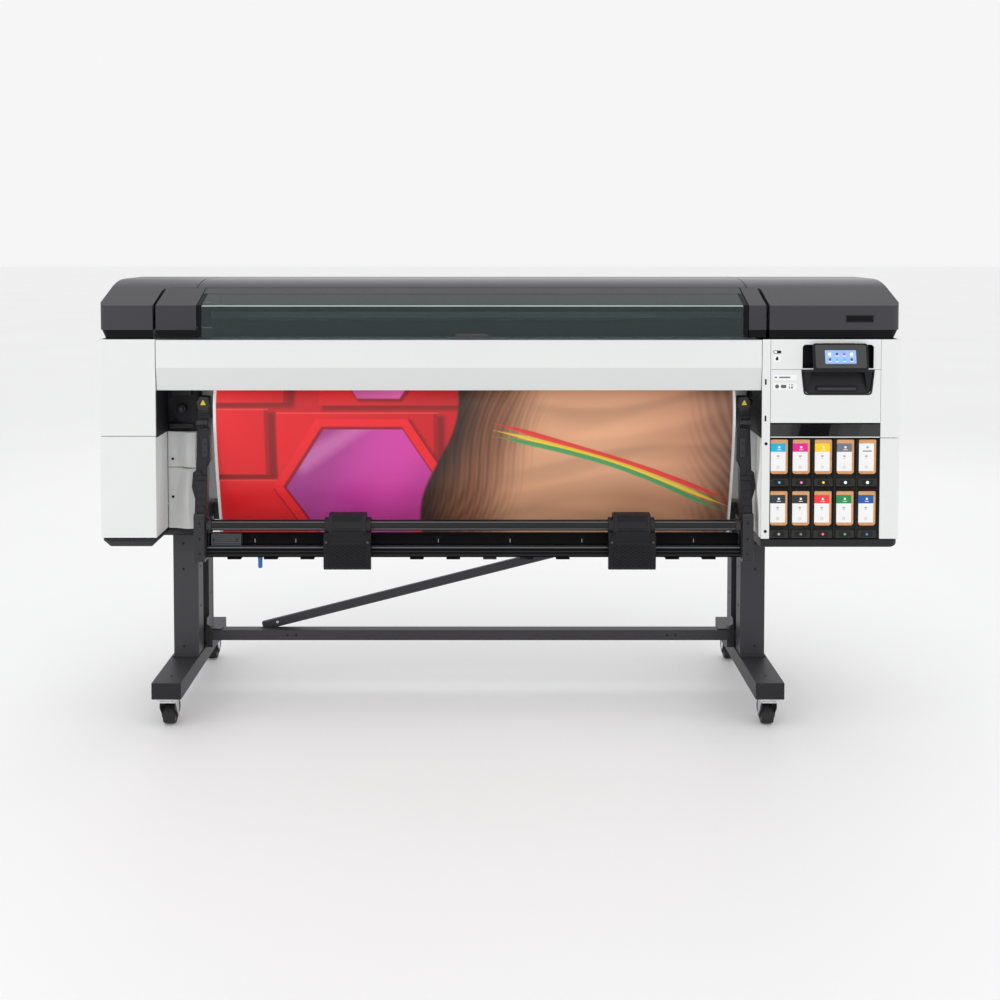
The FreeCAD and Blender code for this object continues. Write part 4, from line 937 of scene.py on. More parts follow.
def cap(name, node, s):
    """End cap: a moulded shell with a soft outer corner, over a darker band that tapers in."""
    B = Build()
    side = s
    edge_f = -1057.0 if s < 0 else -822.0
    edge_r = -953.0 if s < 0 else -781.0
    out = -1222.0
    s = -1
    plan = [(out, YR), (out, YF), (edge_f, YF), (edge_f, -155.0), (edge_r, -155.0), (edge_r, YR)]
    bm = bm_prism("XY", rounded(plan, [14, 27, 0.8, 26, 0.8, 0], 7), 1219.0, 1400.0, 0)
    for (ya, za), (yb, zb) in zip(PROF[1:-2], PROF[2:-1]):
        cut_away(bm, (0, ya, za), (0, -(zb - za), yb - ya))
    bmesh.ops.dissolve_limit(bm, angle_limit=math.radians(0.5), verts=bm.verts, edges=bm.edges)
    recalc(bm)
    gone = [f for f in bm.faces if f.normal.z < -0.9 or (abs(f.normal.x) > 0.9 and (f.normal.x > 0) == (s < 0) and abs(f.calc_center_median().x - edge_r) < 0.1)]
    bmesh.ops.delete(bm, geom=gone, context="FACES")
    bevel(bm, 4.0, 4, 24, lambda e: e.is_manifold and not e.is_boundary and min(v.co.z for v in e.verts) > 1225)
    bm.normal_update()
    trial = bm.copy()
    bmesh.ops.solidify(trial, geom=list(trial.faces), thickness=3.2)
    if max(abs(v.co.x) for v in trial.verts) > 1223.5:
        trial.free()
        trial = bm.copy()
        bmesh.ops.reverse_faces(trial, faces=trial.faces)
        trial.normal_update()
        bmesh.ops.solidify(trial, geom=list(trial.faces), thickness=3.2)
    bm.free()
    bm = trial
    for v in bm.verts:
        v.co.x = max(-1222.0, min(1222.0, v.co.x))
        v.co.z = min(1366.0, v.co.z)
        v.co.y = max(-290.0, min(200.0, v.co.y))
    recalc(bm)
    B.add(bm, CAP)
    # dark band under the shell
    o2 = out - 5 * (-1 if s < 0 else 1)
    band_top = rounded([(edge_r, YR - 4), (o2, YR - 4), (o2, YF + 3), (edge_f, YF + 3), (edge_f, YF + 40), (edge_r, YF + 40)], [0, 8, 28, 0, 0, 0], 7)
    o3 = out - 17 * (-1 if s < 0 else 1)
    band_low = rounded([(edge_r, YR - 8), (o3, YR - 8), (o3, YF + 9), (edge_f, YF + 9), (edge_f, YF + 40), (edge_r, YF + 40)], [0, 8, 24, 0, 0, 0], 7)
    bb = bmesh.new()
    va = [bb.verts.new((p[0], p[1], 1220.5)) for p in band_top[:-2]]
    vb = [bb.verts.new((p[0], p[1], 1191.5)) for p in band_low[:-2]]
    for i in range(len(va) - 1):
        bb.faces.new((va[i], va[i + 1], vb[i + 1], vb[i]))
    bb.normal_update()
    c_ = sum((f.calc_center_median() for f in bb.faces), Vector()) / len(bb.faces)
    bmesh.ops.solidify(bb, geom=list(bb.faces), thickness=3.0)
    recalc(bb)
    B.add(bb, CAPBAND)
    if side > 0:
        for v in B.bm.verts:
            v.co.x = -v.co.x
        bmesh.ops.reverse_faces(B.bm, faces=B.bm.faces)
    B.done(name, "frame", (node,), sharp=32)


cap("top_cap_left_piece", "top_cap_left", -1)
cap("top_cap_right_piece", "top_cap_right", 1)
# blank badge plate on the right cap
B = Build()
B.add(bm_prism("XZ", rrect(1053, 1139, 1241, 1265, 2.0, 4), -290.9, -289.5, 0.5), BLACK2)
B.add(bm_prism("XZ", rrect(1056, 1136, 1244, 1262, 1.4, 4), -291.2, -290.2, 0.3), CAPBAND)
B.done("badge_plate", "frame")


x0, x1, y0, y1, z0, z1 = nb("top_cover")
B = Build()
o_ = [(max(y, y0), z) for y, z in CROWN] + [(186.0, 1366.0), (192.0, 1364.6), (197.6, 1359.0), (200.0, 1352.0), (200.0, z0)]
i_ = [(max(y, y0), z - 3.0) for y, z in CROWN] + [(185.0, 1363.0), (191.0, 1361.0), (195.2, 1357.0), (197.0, 1351.0), (197.0, z0)]
B.add(bm_prism("YZ", o_ + list(reversed(i_)), x0, x1, 0.8, 2, 34), CAP)
for x in range(-900, 781, 240):
    screw(B, "Y", (x, 200, 1215), 4.0, DARKM, out=1)
# dark seals behind the two seams between the cover and the caps
for sx in (-958.0, 774.0):
    B.add(bm_box(sx, sx + 12, 190.0, 194.5, 1221, 1350, 0.4, 1), CAPBAND)
B.done("top_cover_piece", "frame", ("top_cover",), sharp=30)


def block_paint(c, n):
    return 1 if c.z < 1219.5 and c.y < -280 else 0


def block_cut(bm):
    bmesh.ops.bisect_plane(bm, geom=list(bm.verts) + list(bm.edges) + list(bm.faces), dist=0.001, plane_co=(0, 0, 1219.0), plane_no=(0, 0, 1))
    bx0, bx1 = nb("window_end_blocks")[:2]
    for v in bm.verts:
        if abs(v.co.x - bx0) < 0.1:
            v.co.x += 3.0
        if abs(v.co.x - bx1) < 0.1:
            v.co.x -= 3.0
        if v.co.z < 1200 and v.co.y < -285:
            v.co.y += 9
        elif abs(v.co.z - 1219) < 0.1 and v.co.y < -289:
            v.co.y += 0.0


cad_piece("window_end_blocks", CAP, b=1.4, mats=[CAP, CAPBAND], paint=block_paint, pre=block_cut)

# ---- window: one bent sheet with a soft nose, opaque strips and a handle
x0, x1, y0, y1, z0, z1 = nb("window")
B = Build()
nose = []
for i in range(9):
    a = math.radians(180 - 70 * i / 8)
    nose.append((-281.0 + 9.0 * math.cos(a), 1287.0 + 9.0 * math.sin(a)))
nose = [(y, z) for y, z in nose]


def glass_line(off):
    r = 9.0 - off
    pts = [(-290.0 + off, 1196.0)]
    cy, cz = -281.0, 1286.7
    for i in range(9):
        a = math.radians(180 - 70.05 * i / 8)
        pts.append((cy + r * math.cos(a), cz + r * math.sin(a)))
    ny, nz = -math.sin(math.radians(19.95)), math.cos(math.radians(19.95))
    e = Vector((-200.0, 0.0))
    ex = -200.0
    bz = 1293.0 + (ex + 290) * math.tan(math.radians(19.95))
    pts.append((ex - ny * 0 , bz - off / nz))
    return pts


o_, i_ = glass_line(0.0), glass_line(3.6)
bm = bm_prism("YZ", o_ + list(reversed(i_)), x0 + 14, x1 - 14, 0.5, 2, 34)
B.add(bm, GLASS)


def slope(y, off=0.0):
    return 1293.0 + (y + 290) * math.tan(math.radians(19.95)) - off


# opaque strip along the hinge side and side rails
B.add(bm_prism("YZ", [(-200.0, slope(-200)), (-157.0, slope(-157)), (-157.0, slope(-157, 6.0)), (-200.0, slope(-200, 6.0))], x0, x1, 0.9), CAP)
B.add(bm_prism("YZ", [(-201.6, slope(-201.6, 0.8)), (-200.2, slope(-200.2, 0.8)), (-200.2, slope(-200.2, 5.0)), (-201.6, slope(-201.6, 5.0))], x0, x1, 0.0), BLACK)
for xa, xb in ((x0, x0 + 14), (x1 - 14, x1)):
    B.add(bm_prism("YZ", o_ + list(reversed(i_)), xa, xb, 0.5, 2, 34), CAPBAND)
# painted highlight: a pale strip along the glass bend standing in for its reflection
B.add(bm_prism("YZ", [(-289.6, 1290.2), (-287.3, 1293.6), (-286.3, 1293.4), (-288.6, 1290.0)], x0 + 15, x1 - 15, 0.0), mat("bend_painted_highlight", (0.40, 0.45, 0.43), rough=0.15, var=0.08, var_scale=4, grain=500, bump=0.02))
# handle lip in the middle of the front edge
B.add(bm_prism("XZ", rounded([(-140, 1196), (-31, 1196), (-40, 1208), (-131, 1208)], 3, 3), -291.6, -286.0, 0.8), BLACKG)
# a plain tag inside the left end
B.add(bm_prism("XY", [(x0 + 22, -262), (x0 + 38, -262), (x0 + 30, -248)], 1299.4, 1300.2, 0.1), YELLOW)
B.done("window_piece", "window_lid", ("window",), sharp=50)


def fb_extra(B):
    # thin return visible under the beam
    B.add(bm_box(-1046, 797, -276, -262, 1034.2, 1036.0, 0.4), BLACK2)


# front faces below the beam's crease take the darker white: painted shade
cad_piece("front_beam", WHITE, b=1.4, seg=3, ang=8, mats=[WHITE, WHITE_PAINTED_SHADE, BLACK2], paint=lambda c, n: 1 if (c.z < 1102.5 and n.y < -0.5) else 0, extra=fb_extra)

# ================================================================ PRINT ENGINE
cad_piece("chassis", DARKM, b=0.6)
cad_piece("platen", BLACK2, b=0.5)


def rails_paint(c, n):
    if 40 < c.y < 46 and c.z > 1233 and abs(c.x - 160) < 400:
        return 1
    return 0


def rails_cut(bm):
    bmesh.ops.bisect_plane(bm, geom=list(bm.verts) + list(bm.edges) + list(bm.faces), dist=0.001, plane_co=(0, 0, 1233.0), plane_no=(0, 0, 1))


def rails_extra(B):
    i = 0
    x = -870.0
    while x < 1180:
        B.add(bm_cyl("Y", (x, 44.7, 1208), 4.6, 0.6, 0.15, 24), BLACK)
        if i % 2 == 0:
            B.add(bm_cyl("Y", (x, 44.7, 1178), 4.0, 0.6, 0.15, 24), BLACK)
            B.add(bm_box(x + 52, x + 53.6, 44.7, 45.2, 1152, 1223, 0.1, 1), BLACK)
        x += 105.0
        i += 1
    # encoder strip
    B.add(bm_box(-948, 1190, 44.7, 45.2, 1226, 1231, 0.1, 1), BLACKG)


cad_piece("carriage_rails", INNERM, b=0.8, mats=[INNERM, LIGHTM], paint=rails_paint, pre=rails_cut, extra=rails_extra)


def car_extra(B):
    x0, x1 = 850, 1060
    for i in range(5):
        B.add(bm_box(x0 + 12 + i * 39, x0 + 42 + i * 39, -104.8, -20, 1112.5, 1117, 1.0), BLACKG)
    B.add(bm_prism("XZ", rrect(x0 + 20, x1 - 20, 1140, 1190, 6), -106.5, -104.4, 0.8), BLACK)
    B.add(bm_box(x0 + 30, x1 - 30, -60, 20, 1263, 1266, 1.0), BLUE)


cad_piece("carriage", BLACK2, b=3.0, seg=3, sel=lambda e: e.is_convex, extra=car_extra)


def cutter_extra(B):
    B.add(bm_box(-940, -902, -151, -147, 1140, 1168, 1.0), YELLOW)
    B.add(bm_cyl("X", (-925, -172, 1119.5), 9.0, 3.0, 0.8, 32), CHROME)


cad_piece("cutter", BLACK2, b=1.6, seg=2, extra=cutter_extra)
cad_piece("feed_roller", RUBGREY, b=0.4, ang=40, mats=[RUBGREY, CHROME], paint=lambda c, n: 1 if (Vector((c.y - 25, c.z - 1088)).length < 9) else 0)
cad_piece("pinch_rollers", RUBBER, b=0.3, ang=40, mats=[RUBBER, CHROME], paint=lambda c, n: 1 if (Vector((c.y - 25, c.z - 1117.3)).length < 4) else 0)
cad_piece("roll_spindle", BLACK2, b=0.8, ang=40, mats=[BLACK2, BLUE], paint=lambda c, n: 1 if (Vector((c.y - 112, c.z - 905)).length > 45 or abs(n.x) > 0.5) else 0)

# the roll: outer surface, wound ends and its core
x0, x1, y0, y1, z0, z1 = nb("media_roll")
cy, cz, R = (y0 + y1) / 2, (z0 + z1) / 2, (z1 - z0) / 2
B = Build()
prof = [(0, 38.2)]
for i in range(24):
    r = 38.5 + (R - 39.2) * i / 23
    prof.append((0.0 if i % 2 else 0.35, r))
prof += [(0.4, R - 0.3), (0.9, R), (x1 - x0 - 0.9, R), (x1 - x0 - 0.4, R - 0.3)]
for i in range(24):
    r = R - 0.7 - (R - 39.2) * i / 23
    prof.append((x1 - x0 if i % 2 else x1 - x0 - 0.35, r))
prof += [(x1 - x0, 38.2), (0, 38.2)]
bm = bm_lathe("X", (x0, cy, cz), prof, 96)
bmesh.ops.remove_doubles(bm, verts=bm.verts, dist=1e-4)
recalc(bm)
B.add(bm, PAPER)
B.add(bm_ring("X", (x0 - 3, cy, cz), 38.05, 41.0, 10, 0.4, 64), KRAFT)
B.add(bm_ring("X", (x1 - 7, cy, cz), 38.05, 41.0, 10, 0.4, 64), KRAFT)
B.done("media_roll_piece", "roll", ("media_roll",), sharp=50)

# ================================================================ MEDIA WEB
wx0, wx1, wy0, wy1, wz0, wz1 = nb("media_web")
rx = 174.6
PATH = [(rx, 905.0), (rx + 0.6, 950.0), (rx, 1000.0), (rx - 8, 1044.0), (rx - 32, 1080.0), (rx - 66, 1101.0), (rx - 100, 1107.5), (52.0, 1108.0), (25.0, 1108.0), (-2.0, 1108.0), (-60.0, 1108.0), (-118.0, 1108.0),
        (-150.0, 1102.0), (-175.0, 1085.0), (-191.0, 1062.0), (-202.0, 1036.0), (-212.0, 1010.0), (-219.5, 978.0), (-219.0, 930.0), (-209.0, 860.0), (-192.0, 780.0), (-170.0, 700.0), (-146.0, 620.0), (-128.0, 551.0), (-116.0, 500.0)]


def smooth_path(P, step):
    """A centripetal curve through the points, sampled at even steps."""
    P = [np.array(p, float) for p in P]
    P = [2 * P[0] - P[1]] + P + [2 * P[-1] - P[-2]]
    out = []
    for i in range(1, len(P) - 2):
        p0, p1, p2, p3 = P[i - 1:i + 3]
        t0 = 0.0
        t1 = t0 + np.linalg.norm(p1 - p0) ** 0.5
        t2 = t1 + np.linalg.norm(p2 - p1) ** 0.5
        t3 = t2 + np.linalg.norm(p3 - p2) ** 0.5
        for t in np.linspace(t1, t2, 40, endpoint=False):
            a1 = (t1 - t) / (t1 - t0) * p0 + (t - t0) / (t1 - t0) * p1
            a2 = (t2 - t) / (t2 - t1) * p1 + (t - t1) / (t2 - t1) * p2
            a3 = (t3 - t) / (t3 - t2) * p2 + (t - t2) / (t3 - t2) * p3
            b1 = (t2 - t) / (t2 - t0) * a1 + (t - t0) / (t2 - t0) * a2
            b2 = (t3 - t) / (t3 - t1) * a2 + (t - t1) / (t3 - t1) * a3
            out.append((t2 - t) / (t2 - t1) * b1 + (t - t1) / (t2 - t1) * b2)
    out.append(P[-2])
    out = np.array(out)
    d = np.concatenate([[0], np.cumsum(np.linalg.norm(np.diff(out, axis=0), axis=1))])
    n = int(d[-1] / step) + 1
    s = np.linspace(0, d[-1], n)
    return np.stack([np.interp(s, d, out[:, 0]), np.interp(s, d, out[:, 1])], 1), s


curve, S = smooth_path(PATH, 2.6)
k0 = int(np.argmin(np.abs(curve[:, 1] - 1101.0) + (curve[:, 0] > -100) * 1e3))
top = curve[:k0 + 1][::6]
if not np.allclose(top[-1], curve[k0]):
    top = np.vstack([top, curve[k0]])
hang = curve[k0:]


def sheet_normals(c):
    t = np.gradient(c, axis=0)
    t /= np.linalg.norm(t, axis=1)[:, None]
    return np.stack([t[:, 1], -t[:, 0]], 1)   # towards the outside of the roll, then up, then the front


def web_mesh(name, c, nx, thick, colour=None, mats=None):
    nrm = sheet_normals(c)
    X = np.linspace(wx0, wx1, nx + 1)
    rows, cols = len(c), nx + 1
    front = np.zeros((rows, cols, 3))
    front[:, :, 0] = X[None, :]
    front[:, :, 1] = (c[:, 0] + nrm[:, 0] * (thick - 0.05))[:, None]
    front[:, :, 2] = (c[:, 1] + nrm[:, 1] * (thick - 0.05))[:, None]
    xs_b = [0, cols - 1]
    back = np.zeros((rows, 2, 3))
    for j, q in enumerate(xs_b):
        back[:, j, 0] = X[q]
        back[:, j, 1] = c[:, 0] + nrm[:, 0] * 0.15
        back[:, j, 2] = c[:, 1] + nrm[:, 1] * 0.15
    V_ = np.concatenate([front.reshape(-1, 3), back.reshape(-1, 3)]) * 0.001
    F = []
    r_, c_ = np.meshgrid(np.arange(rows - 1), np.arange(cols - 1), indexing="ij")
    a = (r_ * cols + c_).ravel()
    quads = np.stack([a, a + cols, a + cols + 1, a + 1], 1)
    nf = rows * cols
    bq = []
    for i in range(rows - 1):
        p = nf + i * 2
        bq.append((p, p + 1, p + 3, p + 2))                      # the plain back
        bq.append((i * cols, nf + i * 2, nf + (i + 1) * 2, (i + 1) * cols))            # left edge
        bq.append((i * cols + cols - 1, (i + 1) * cols + cols - 1, nf + (i + 1) * 2 + 1, nf + i * 2 + 1))   # right edge
    me = bpy.data.meshes.new(name)
    faces = [tuple(q) for q in quads.tolist()] + bq
    ends = []
    for i in (0, rows - 1):
        loop = [i * cols + j for j in range(cols)] + [nf + i * 2 + 1, nf + i * 2]
        ends.append(tuple(loop if i == 0 else reversed(loop)))
    faces += ends
    me.from_pydata(V_.tolist(), [], faces)
    me.validate()
    me.update()
    o = bpy.data.objects.new(name, me)
    SC.collection.objects.link(o)
    bm_ = bmesh.new()
    bm_.from_mesh(me)
    recalc(bm_)
    bm_.to_mesh(me)
    bm_.free()
    for m_ in mats:
        me.materials.append(m_)
    nfr = len(quads)
    idx = np.zeros(len(me.polygons), np.int32)
    idx[nfr:] = 1
    me.polygons.foreach_set("material_index", idx)
    me.shade_smooth()
    me.set_sharp_from_angle(angle=math.radians(50))
    if colour is not None:
        at = me.color_attributes.new("print", "FLOAT_COLOR", "POINT")
        data = np.ones((len(me.vertices), 4), np.float32)
        data[:nf, :3] = colour.reshape(-1, 3)
        data[nf:, :3] = 0.85
        at.data.foreach_set("color", data.ravel())
    return o


def artwork(U, V):
    """An abstract composition: stacked red blocks and a magenta hexagon on the left, sweeping warm ribbons on the right.
    U and V are millimetres from the sheet's upper left corner."""
    def L3(r, g, b):
        return np.array(lin(r, g, b))

    def ss(x, a, b):
        t = np.clip((x - a) / (b - a), 0, 1)
        return t * t * (3 - 2 * t)

    def over(img, m, c):
        return img * (1 - m[..., None]) + c * m[..., None]

    def poly(pts, soft=1.6):
        m = np.ones_like(U)
        k = len(pts)
        for i in range(k):
            ax, ay = pts[i]
            bx, by = pts[(i + 1) % k]
            d = ((bx - ax) * (V - ay) - (by - ay) * (U - ax)) / math.hypot(bx - ax, by - ay)
            m = m * np.clip(d / soft + 0.5, 0, 1)
        return m

    img = np.zeros(U.shape + (3,)) + L3(206, 22, 32)
    # stacked blocks, each with a lit face, a side in shade and a dark gap below
    g = ss(V, 0, 560)[..., None]
    img = img * (1.0 - 0.25 * g)
    for (ua, ub, va, vb, c1, c2) in ((-40, 232, -40, 66, (240, 34, 40), (214, 20, 30)), (-40, 172, 84, 300, (238, 30, 38), (222, 24, 32)), (-40, 300, 318, 620, (236, 28, 36), (226, 26, 34)),
                                     (196, 700, 96, 620, (228, 26, 34), (205, 20, 30)), (330, 790, -40, 74, (222, 22, 32), (196, 16, 28))):
        sh = poly([(ua + 8, va + 10), (ub + 22, va + 10), (ub + 22, vb + 16), (ua + 8, vb + 16)], 14.0)
        img = over(img, sh * 0.75, L3(112, 6, 14))
        m = poly([(ua, va), (ub, va), (ub, vb), (ua, vb)])
        t = ss(U, ua, ub)[..., None]
        img = over(img, m, L3(*c1) * (1 - t) + L3(*c2) * t)
        sd = poly([(ub - 14, va), (ub, va), (ub, vb), (ub - 14, vb)])
        img = over(img, sd * 0.8, L3(150, 10, 20))
        hl = poly([(ua, va), (ub, va), (ub, va + 5), (ua, va + 5)], 2.0)
        img = over(img, hl * 0.45, L3(255, 90, 90))

    def hexa(cx, cy, r, rot=0.0, sq=1.0):
        return [(cx + r * math.cos(rot + PI / 3 * i), cy + r * sq * math.sin(rot + PI / 3 * i)) for i in range(6)]

    # framed hexagon
    img = over(img, poly(hexa(470, 350, 292, 0, 0.92), 10.0) * 0.8, L3(120, 8, 18))
    img = over(img, poly(hexa(462, 342, 284, 0, 0.92)), L3(236, 30, 40))
    img = over(img, poly(hexa(462, 342, 252, 0, 0.92), 3.0), L3(150, 12, 30))
    ins = poly(hexa(466, 346, 246, 0, 0.92))
    t = ss(U + V * 0.5, 330, 830)[..., None]
    mag = L3(176, 66, 150) * (1 - t) + L3(206, 60, 158) * t
    w2 = ss(np.sin(U * 0.012 + V * 0.006), -0.6, 1.0)[..., None]
    mag = mag * (0.86 + 0.26 * w2)
    img = over(img, ins, mag)
    lt = poly([(250, 236), (470, 112), (530, 112), (268, 300)], 30.0) * ins
    img = over(img, lt * 0.35, L3(235, 150, 205))
    # smaller hexagon cut by the top edge
    img = over(img, poly(hexa(520, -44, 138, 0, 0.9), 6.0) * 0.7, L3(110, 8, 20))
    img = over(img, poly(hexa(514, -50, 132, 0, 0.9)), L3(222, 96, 170) * (0.8 + 0.3 * ss(U, 400, 640)[..., None]))

    # warm ribbons on the right, with fine strands between them
    edge = 742 + 34 * np.sin(V * 0.0105 + 0.5) - V * 0.16
    base = np.zeros_like(img)
    q = (U - edge) / (1640 - edge)
    k1, k2, k3, k4 = L3(52, 30, 22), L3(126, 80, 56), L3(214, 158, 122), L3(190, 132, 100)
    t1, t2, t3 = ss(q, 0.0, 0.16), ss(q, 0.14, 0.34), ss(q, 0.55, 0.95)
    base = k1 * (1 - t1[..., None]) + k2 * t1[..., None]
    base = base * (1 - t2[..., None]) + k3 * t2[..., None]
    base = base * (1 - t3[..., None]) + k4 * t3[..., None]
    strand = np.sin((U + 0.30 * V + 22 * np.sin(V * 0.012)) * 0.30 + 1.3 * np.sin(U * 0.045)) * np.sin((U + 0.26 * V + 30 * np.sin(V * 0.009)) * 0.115)
    base = base * (1 + 0.34 * strand[..., None] * (1 - ss(q, 0.12, 0.36))[..., None])
    for i, (ph, amp, wd, lo_, hi_) in enumerate(((0.0, 70, 60, 0.70, 1.12), (1.1, 90, 84, 1.14, 0.88), (2.0, 60, 50, 0.80, 1.10), (2.9, 100, 96, 1.08, 0.84), (3.9, 70, 70, 0.86, 1.12))):
        line = 60 + i * 118 + amp * np.sin((U - 800) * 0.0042 + ph)
        d = (V - line) / wd
        f = np.clip(1 - np.abs(d), 0, 1)
        tone = lo_ + (hi_ - lo_) * ss(d, -1, 1)
        base = base * (1 + (tone - 1)[..., None] * ss(f, 0, 0.5)[..., None] * ss(q, 0.14, 0.4)[..., None])
    strand2 = np.sin((U * 0.9 - 0.36 * V + 26 * np.sin(V * 0.011)) * 0.24 + 1.2 * np.sin(U * 0.05))
    rt = ss(U, 1440, 1640)
    base = base * (1 - 0.62 * rt[..., None]) * (1 + 0.22 * strand2[..., None] * rt[..., None])
    m = ss(U - edge, -6, 6)
    img = over(img, m, base)
    # three bright ribbons that sweep across
    for (c, off, wd) in (((228, 44, 44), 0, 9.0), ((238, 206, 44), 20, 7.0), ((40, 158, 92), 38, 8.0)):
        line = 92 + off + 330 * ss(U, 820, 1700) + 40 * np.sin((U - 700) * 0.006 + off * 0.01)
        taper = ss(U, 860, 1010) * (1 - ss(U, 1480, 1625))
        f = np.clip((wd * taper - np.abs(V - line)) / 2.2 + 0.5, 0, 1) * (taper > 0.01)
        shade = 0.86 + 0.2 * ss(V - line, -wd, wd)
        img = over(img, f * 0.92, L3(*c) * shade[..., None])
    # plain white margins
    mg = np.clip((9.0 - U) / 2.4 + 0.5, 0, 1) + np.clip((U - 1618.0) / 2.4 + 0.5, 0, 1)
    img = over(img, np.clip(mg, 0, 1), np.array([0.86, 0.86, 0.86]))
    return np.clip(img, 0, 1)


def print_mat():
    m = bpy.data.materials.new("printed_media")
    m.use_nodes = True
    nt = m.node_tree
    N, L = nt.nodes, nt.links
    b = N["Principled BSDF"]
    ca = N.new("ShaderNodeVertexColor")
    ca.layer_name = "print"
    tc = N.new("ShaderNodeTexCoord")
    n1 = N.new("ShaderNodeTexNoise")
    n1.inputs["Scale"].default_value = 1100.0
    n1.inputs["Detail"].default_value = 2.0
    L.new(tc.outputs["Object"], n1.inputs["Vector"])
    mr = N.new("ShaderNodeMapRange")
    mr.inputs["To Min"].default_value, mr.inputs["To Max"].default_value = 0.95, 1.05
    L.new(n1.outputs["Fac"], mr.inputs["Value"])
    mx = N.new("ShaderNodeMix")
    mx.data_type = "RGBA"
    mx.blend_type = "MULTIPLY"
    mx.inputs["Factor"].default_value = 1.0
    L.new(ca.outputs["Color"], mx.inputs["A"])
    L.new(mr.outputs["Result"], mx.inputs["B"])
    L.new(mx.outputs["Result"], b.inputs["Base Color"])
    r2 = N.new("ShaderNodeMapRange")
    r2.inputs["To Min"].default_value, r2.inputs["To Max"].default_value = 0.36, 0.46
    L.new(n1.outputs["Fac"], r2.inputs["Value"])
    L.new(r2.outputs["Result"], b.inputs["Roughness"])
    bp = N.new("ShaderNodeBump")
    bp.inputs["Strength"].default_value = 0.06
    bp.inputs["Distance"].default_value = 0.0001
    L.new(n1.outputs["Fac"], bp.inputs["Height"])
    L.new(bp.outputs["Normal"], b.inputs["Normal"])
    return m


PRINT = print_mat()
NX = 640
Xc = np.linspace(wx0, wx1, NX + 1)
sh = np.concatenate([[0], np.cumsum(np.linalg.norm(np.diff(hang, axis=0), axis=1))])
UU, VV = np.meshgrid(Xc - wx0, sh - 70.0)
web = web_mesh("media_web_printed", hang, NX, 1.0, artwork(UU, VV), [PRINT, PAPER])
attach(web, "frame")
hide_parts("media_web")
feedw = web_mesh("media_web_feed", top, 8, 1.0, None, [PAPER, PAPER])
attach(feedw, "frame")

# ================================================================ COLLECTION FRAME
def arms_extra(B):
    for s, xa, xb in ((-1, -940.0, -905.0), (1, 745.0, 780.0)):
        xm = (xa + xb) / 2
        # pivot boss, cover cap and plain warning triangle
        B.add(bm_cyl("X", (xa - 2 if s < 0 else xb - 6, -190, 985), 17, 8, 2, 32), BLACK2)
        B.add(bm_prism("XZ", rrect(xm - 11, xm + 11, 972, 1000, 3), -213.0, -207.0, 1.0), BLACK2)
        B.add(bm_prism("XZ", rounded([(xm - 9, 979), (xm + 9, 979), (xm, 996)], 1.2, 3), -217.4, -215.6, 0.2), YELLOW)
        # ribs on the casting
        yf = lambda z: -266 if z < 650 else -266 + (z - 650) * 0.150
        for z in (560, 668, 690, 712, 930, 948):
            B.add(bm_box(xa + 4, xb - 4, yf(z) - 2.5, yf(z) + 8, z, z + 6, 1.5), BLACK2)
        # head, offset casting, knuckle and cranked link that give the arm its broken outline
        k = -s
        q = lambda pts: [(xm + k * a, z) for a, z in pts]
        B.add(bm_prism("XZ", rounded(q([(-17, 966), (12, 960), (20, 978), (15, 1003), (-9, 1005), (-20, 990)]), 3.5, 3), -216.0, -196.0, 1.8), DARKM)
        B.add(bm_prism("XZ", rounded(q([(-8, 908), (17, 912), (25.5, 888), (25.5, 806), (15, 782), (-4, 790)]), 4, 3), -240.0, -214.0, 2.4), BLACK2)
        B.add(bm_prism("XZ", rounded(q([(2, 880), (19, 880), (19, 820), (2, 820)]), 3, 3), -243.0, -238.0, 1.4), DARKM)
        B.add(bm_prism("XZ", rounded(q([(-25, 776), (-3, 782), (8, 742), (0, 700), (-17, 682), (-29, 728)]), 5, 3), -252.0, -228.0, 2.4), BLACK2)
        B.add(bm_prism("XZ", rounded(q([(-13, 668), (9, 676), (17, 655), (12, 640), (-11, 640)]), 3, 3), -268.0, -240.0, 1.8), BLACK2)
        B.add(bm_cyl("X", (xm - 16, -237, 928), 9.0, 32, 1.2, 32), DARKM)
        B.add(bm_cyl("X", (xm - 19, -247, 757), 10.0, 38, 1.4, 32), BLACK2)
        for z, yy in ((896, -240), (796, -240), (862, -243), (836, -243), (756, -252), (704, -252), (654, -268)):
            screw(B, "Y", (xm + k * (10 if z > 780 else -8), yy, z), 3.4, DARKM)
        # corner casting that clamps the tube and the bar
        B.add(bm_prism("YZ", rrect(-280, -222, 500, 652, 10, 4), xa - 1.0 if s < 0 else xa + 2, xb - 2 if s < 0 else xb + 1.0, 3.0, 3), DARKM)
        for z in (528, 574, 622):
            screw(B, "Y", (xm, -280, z), 4.0, BLACK2)


cad_piece("swing_arms", BLACK2, b=2.0, seg=2, extra=arms_extra)


def tube_extra(B):
    for x in (-905, 731):
        B.add(bm_ring("X", (x, -249, 610), 17.0, 22.0, 14, 1.2, 40), DARKM)


x0, x1, y0, y1, z0, z1 = nb("guide_tube")
B = Build()
B.add(bm_cyl("X", (x0, -249, 610), 17.0, x1 - x0, 0.8, 64), TUBE)
for x in (x0, x1 - 16):
    B.add(bm_ring("X", (x, -249, 610), 16.9, 21.0, 16, 1.2, 48), DARKM)
TUBE_PAINTED_HIGHLIGHT = mat("tube_painted_highlight", (0.115, 0.118, 0.122), rough=0.3, metal=0.4, var=0.05, grain=500, bump=0.04)
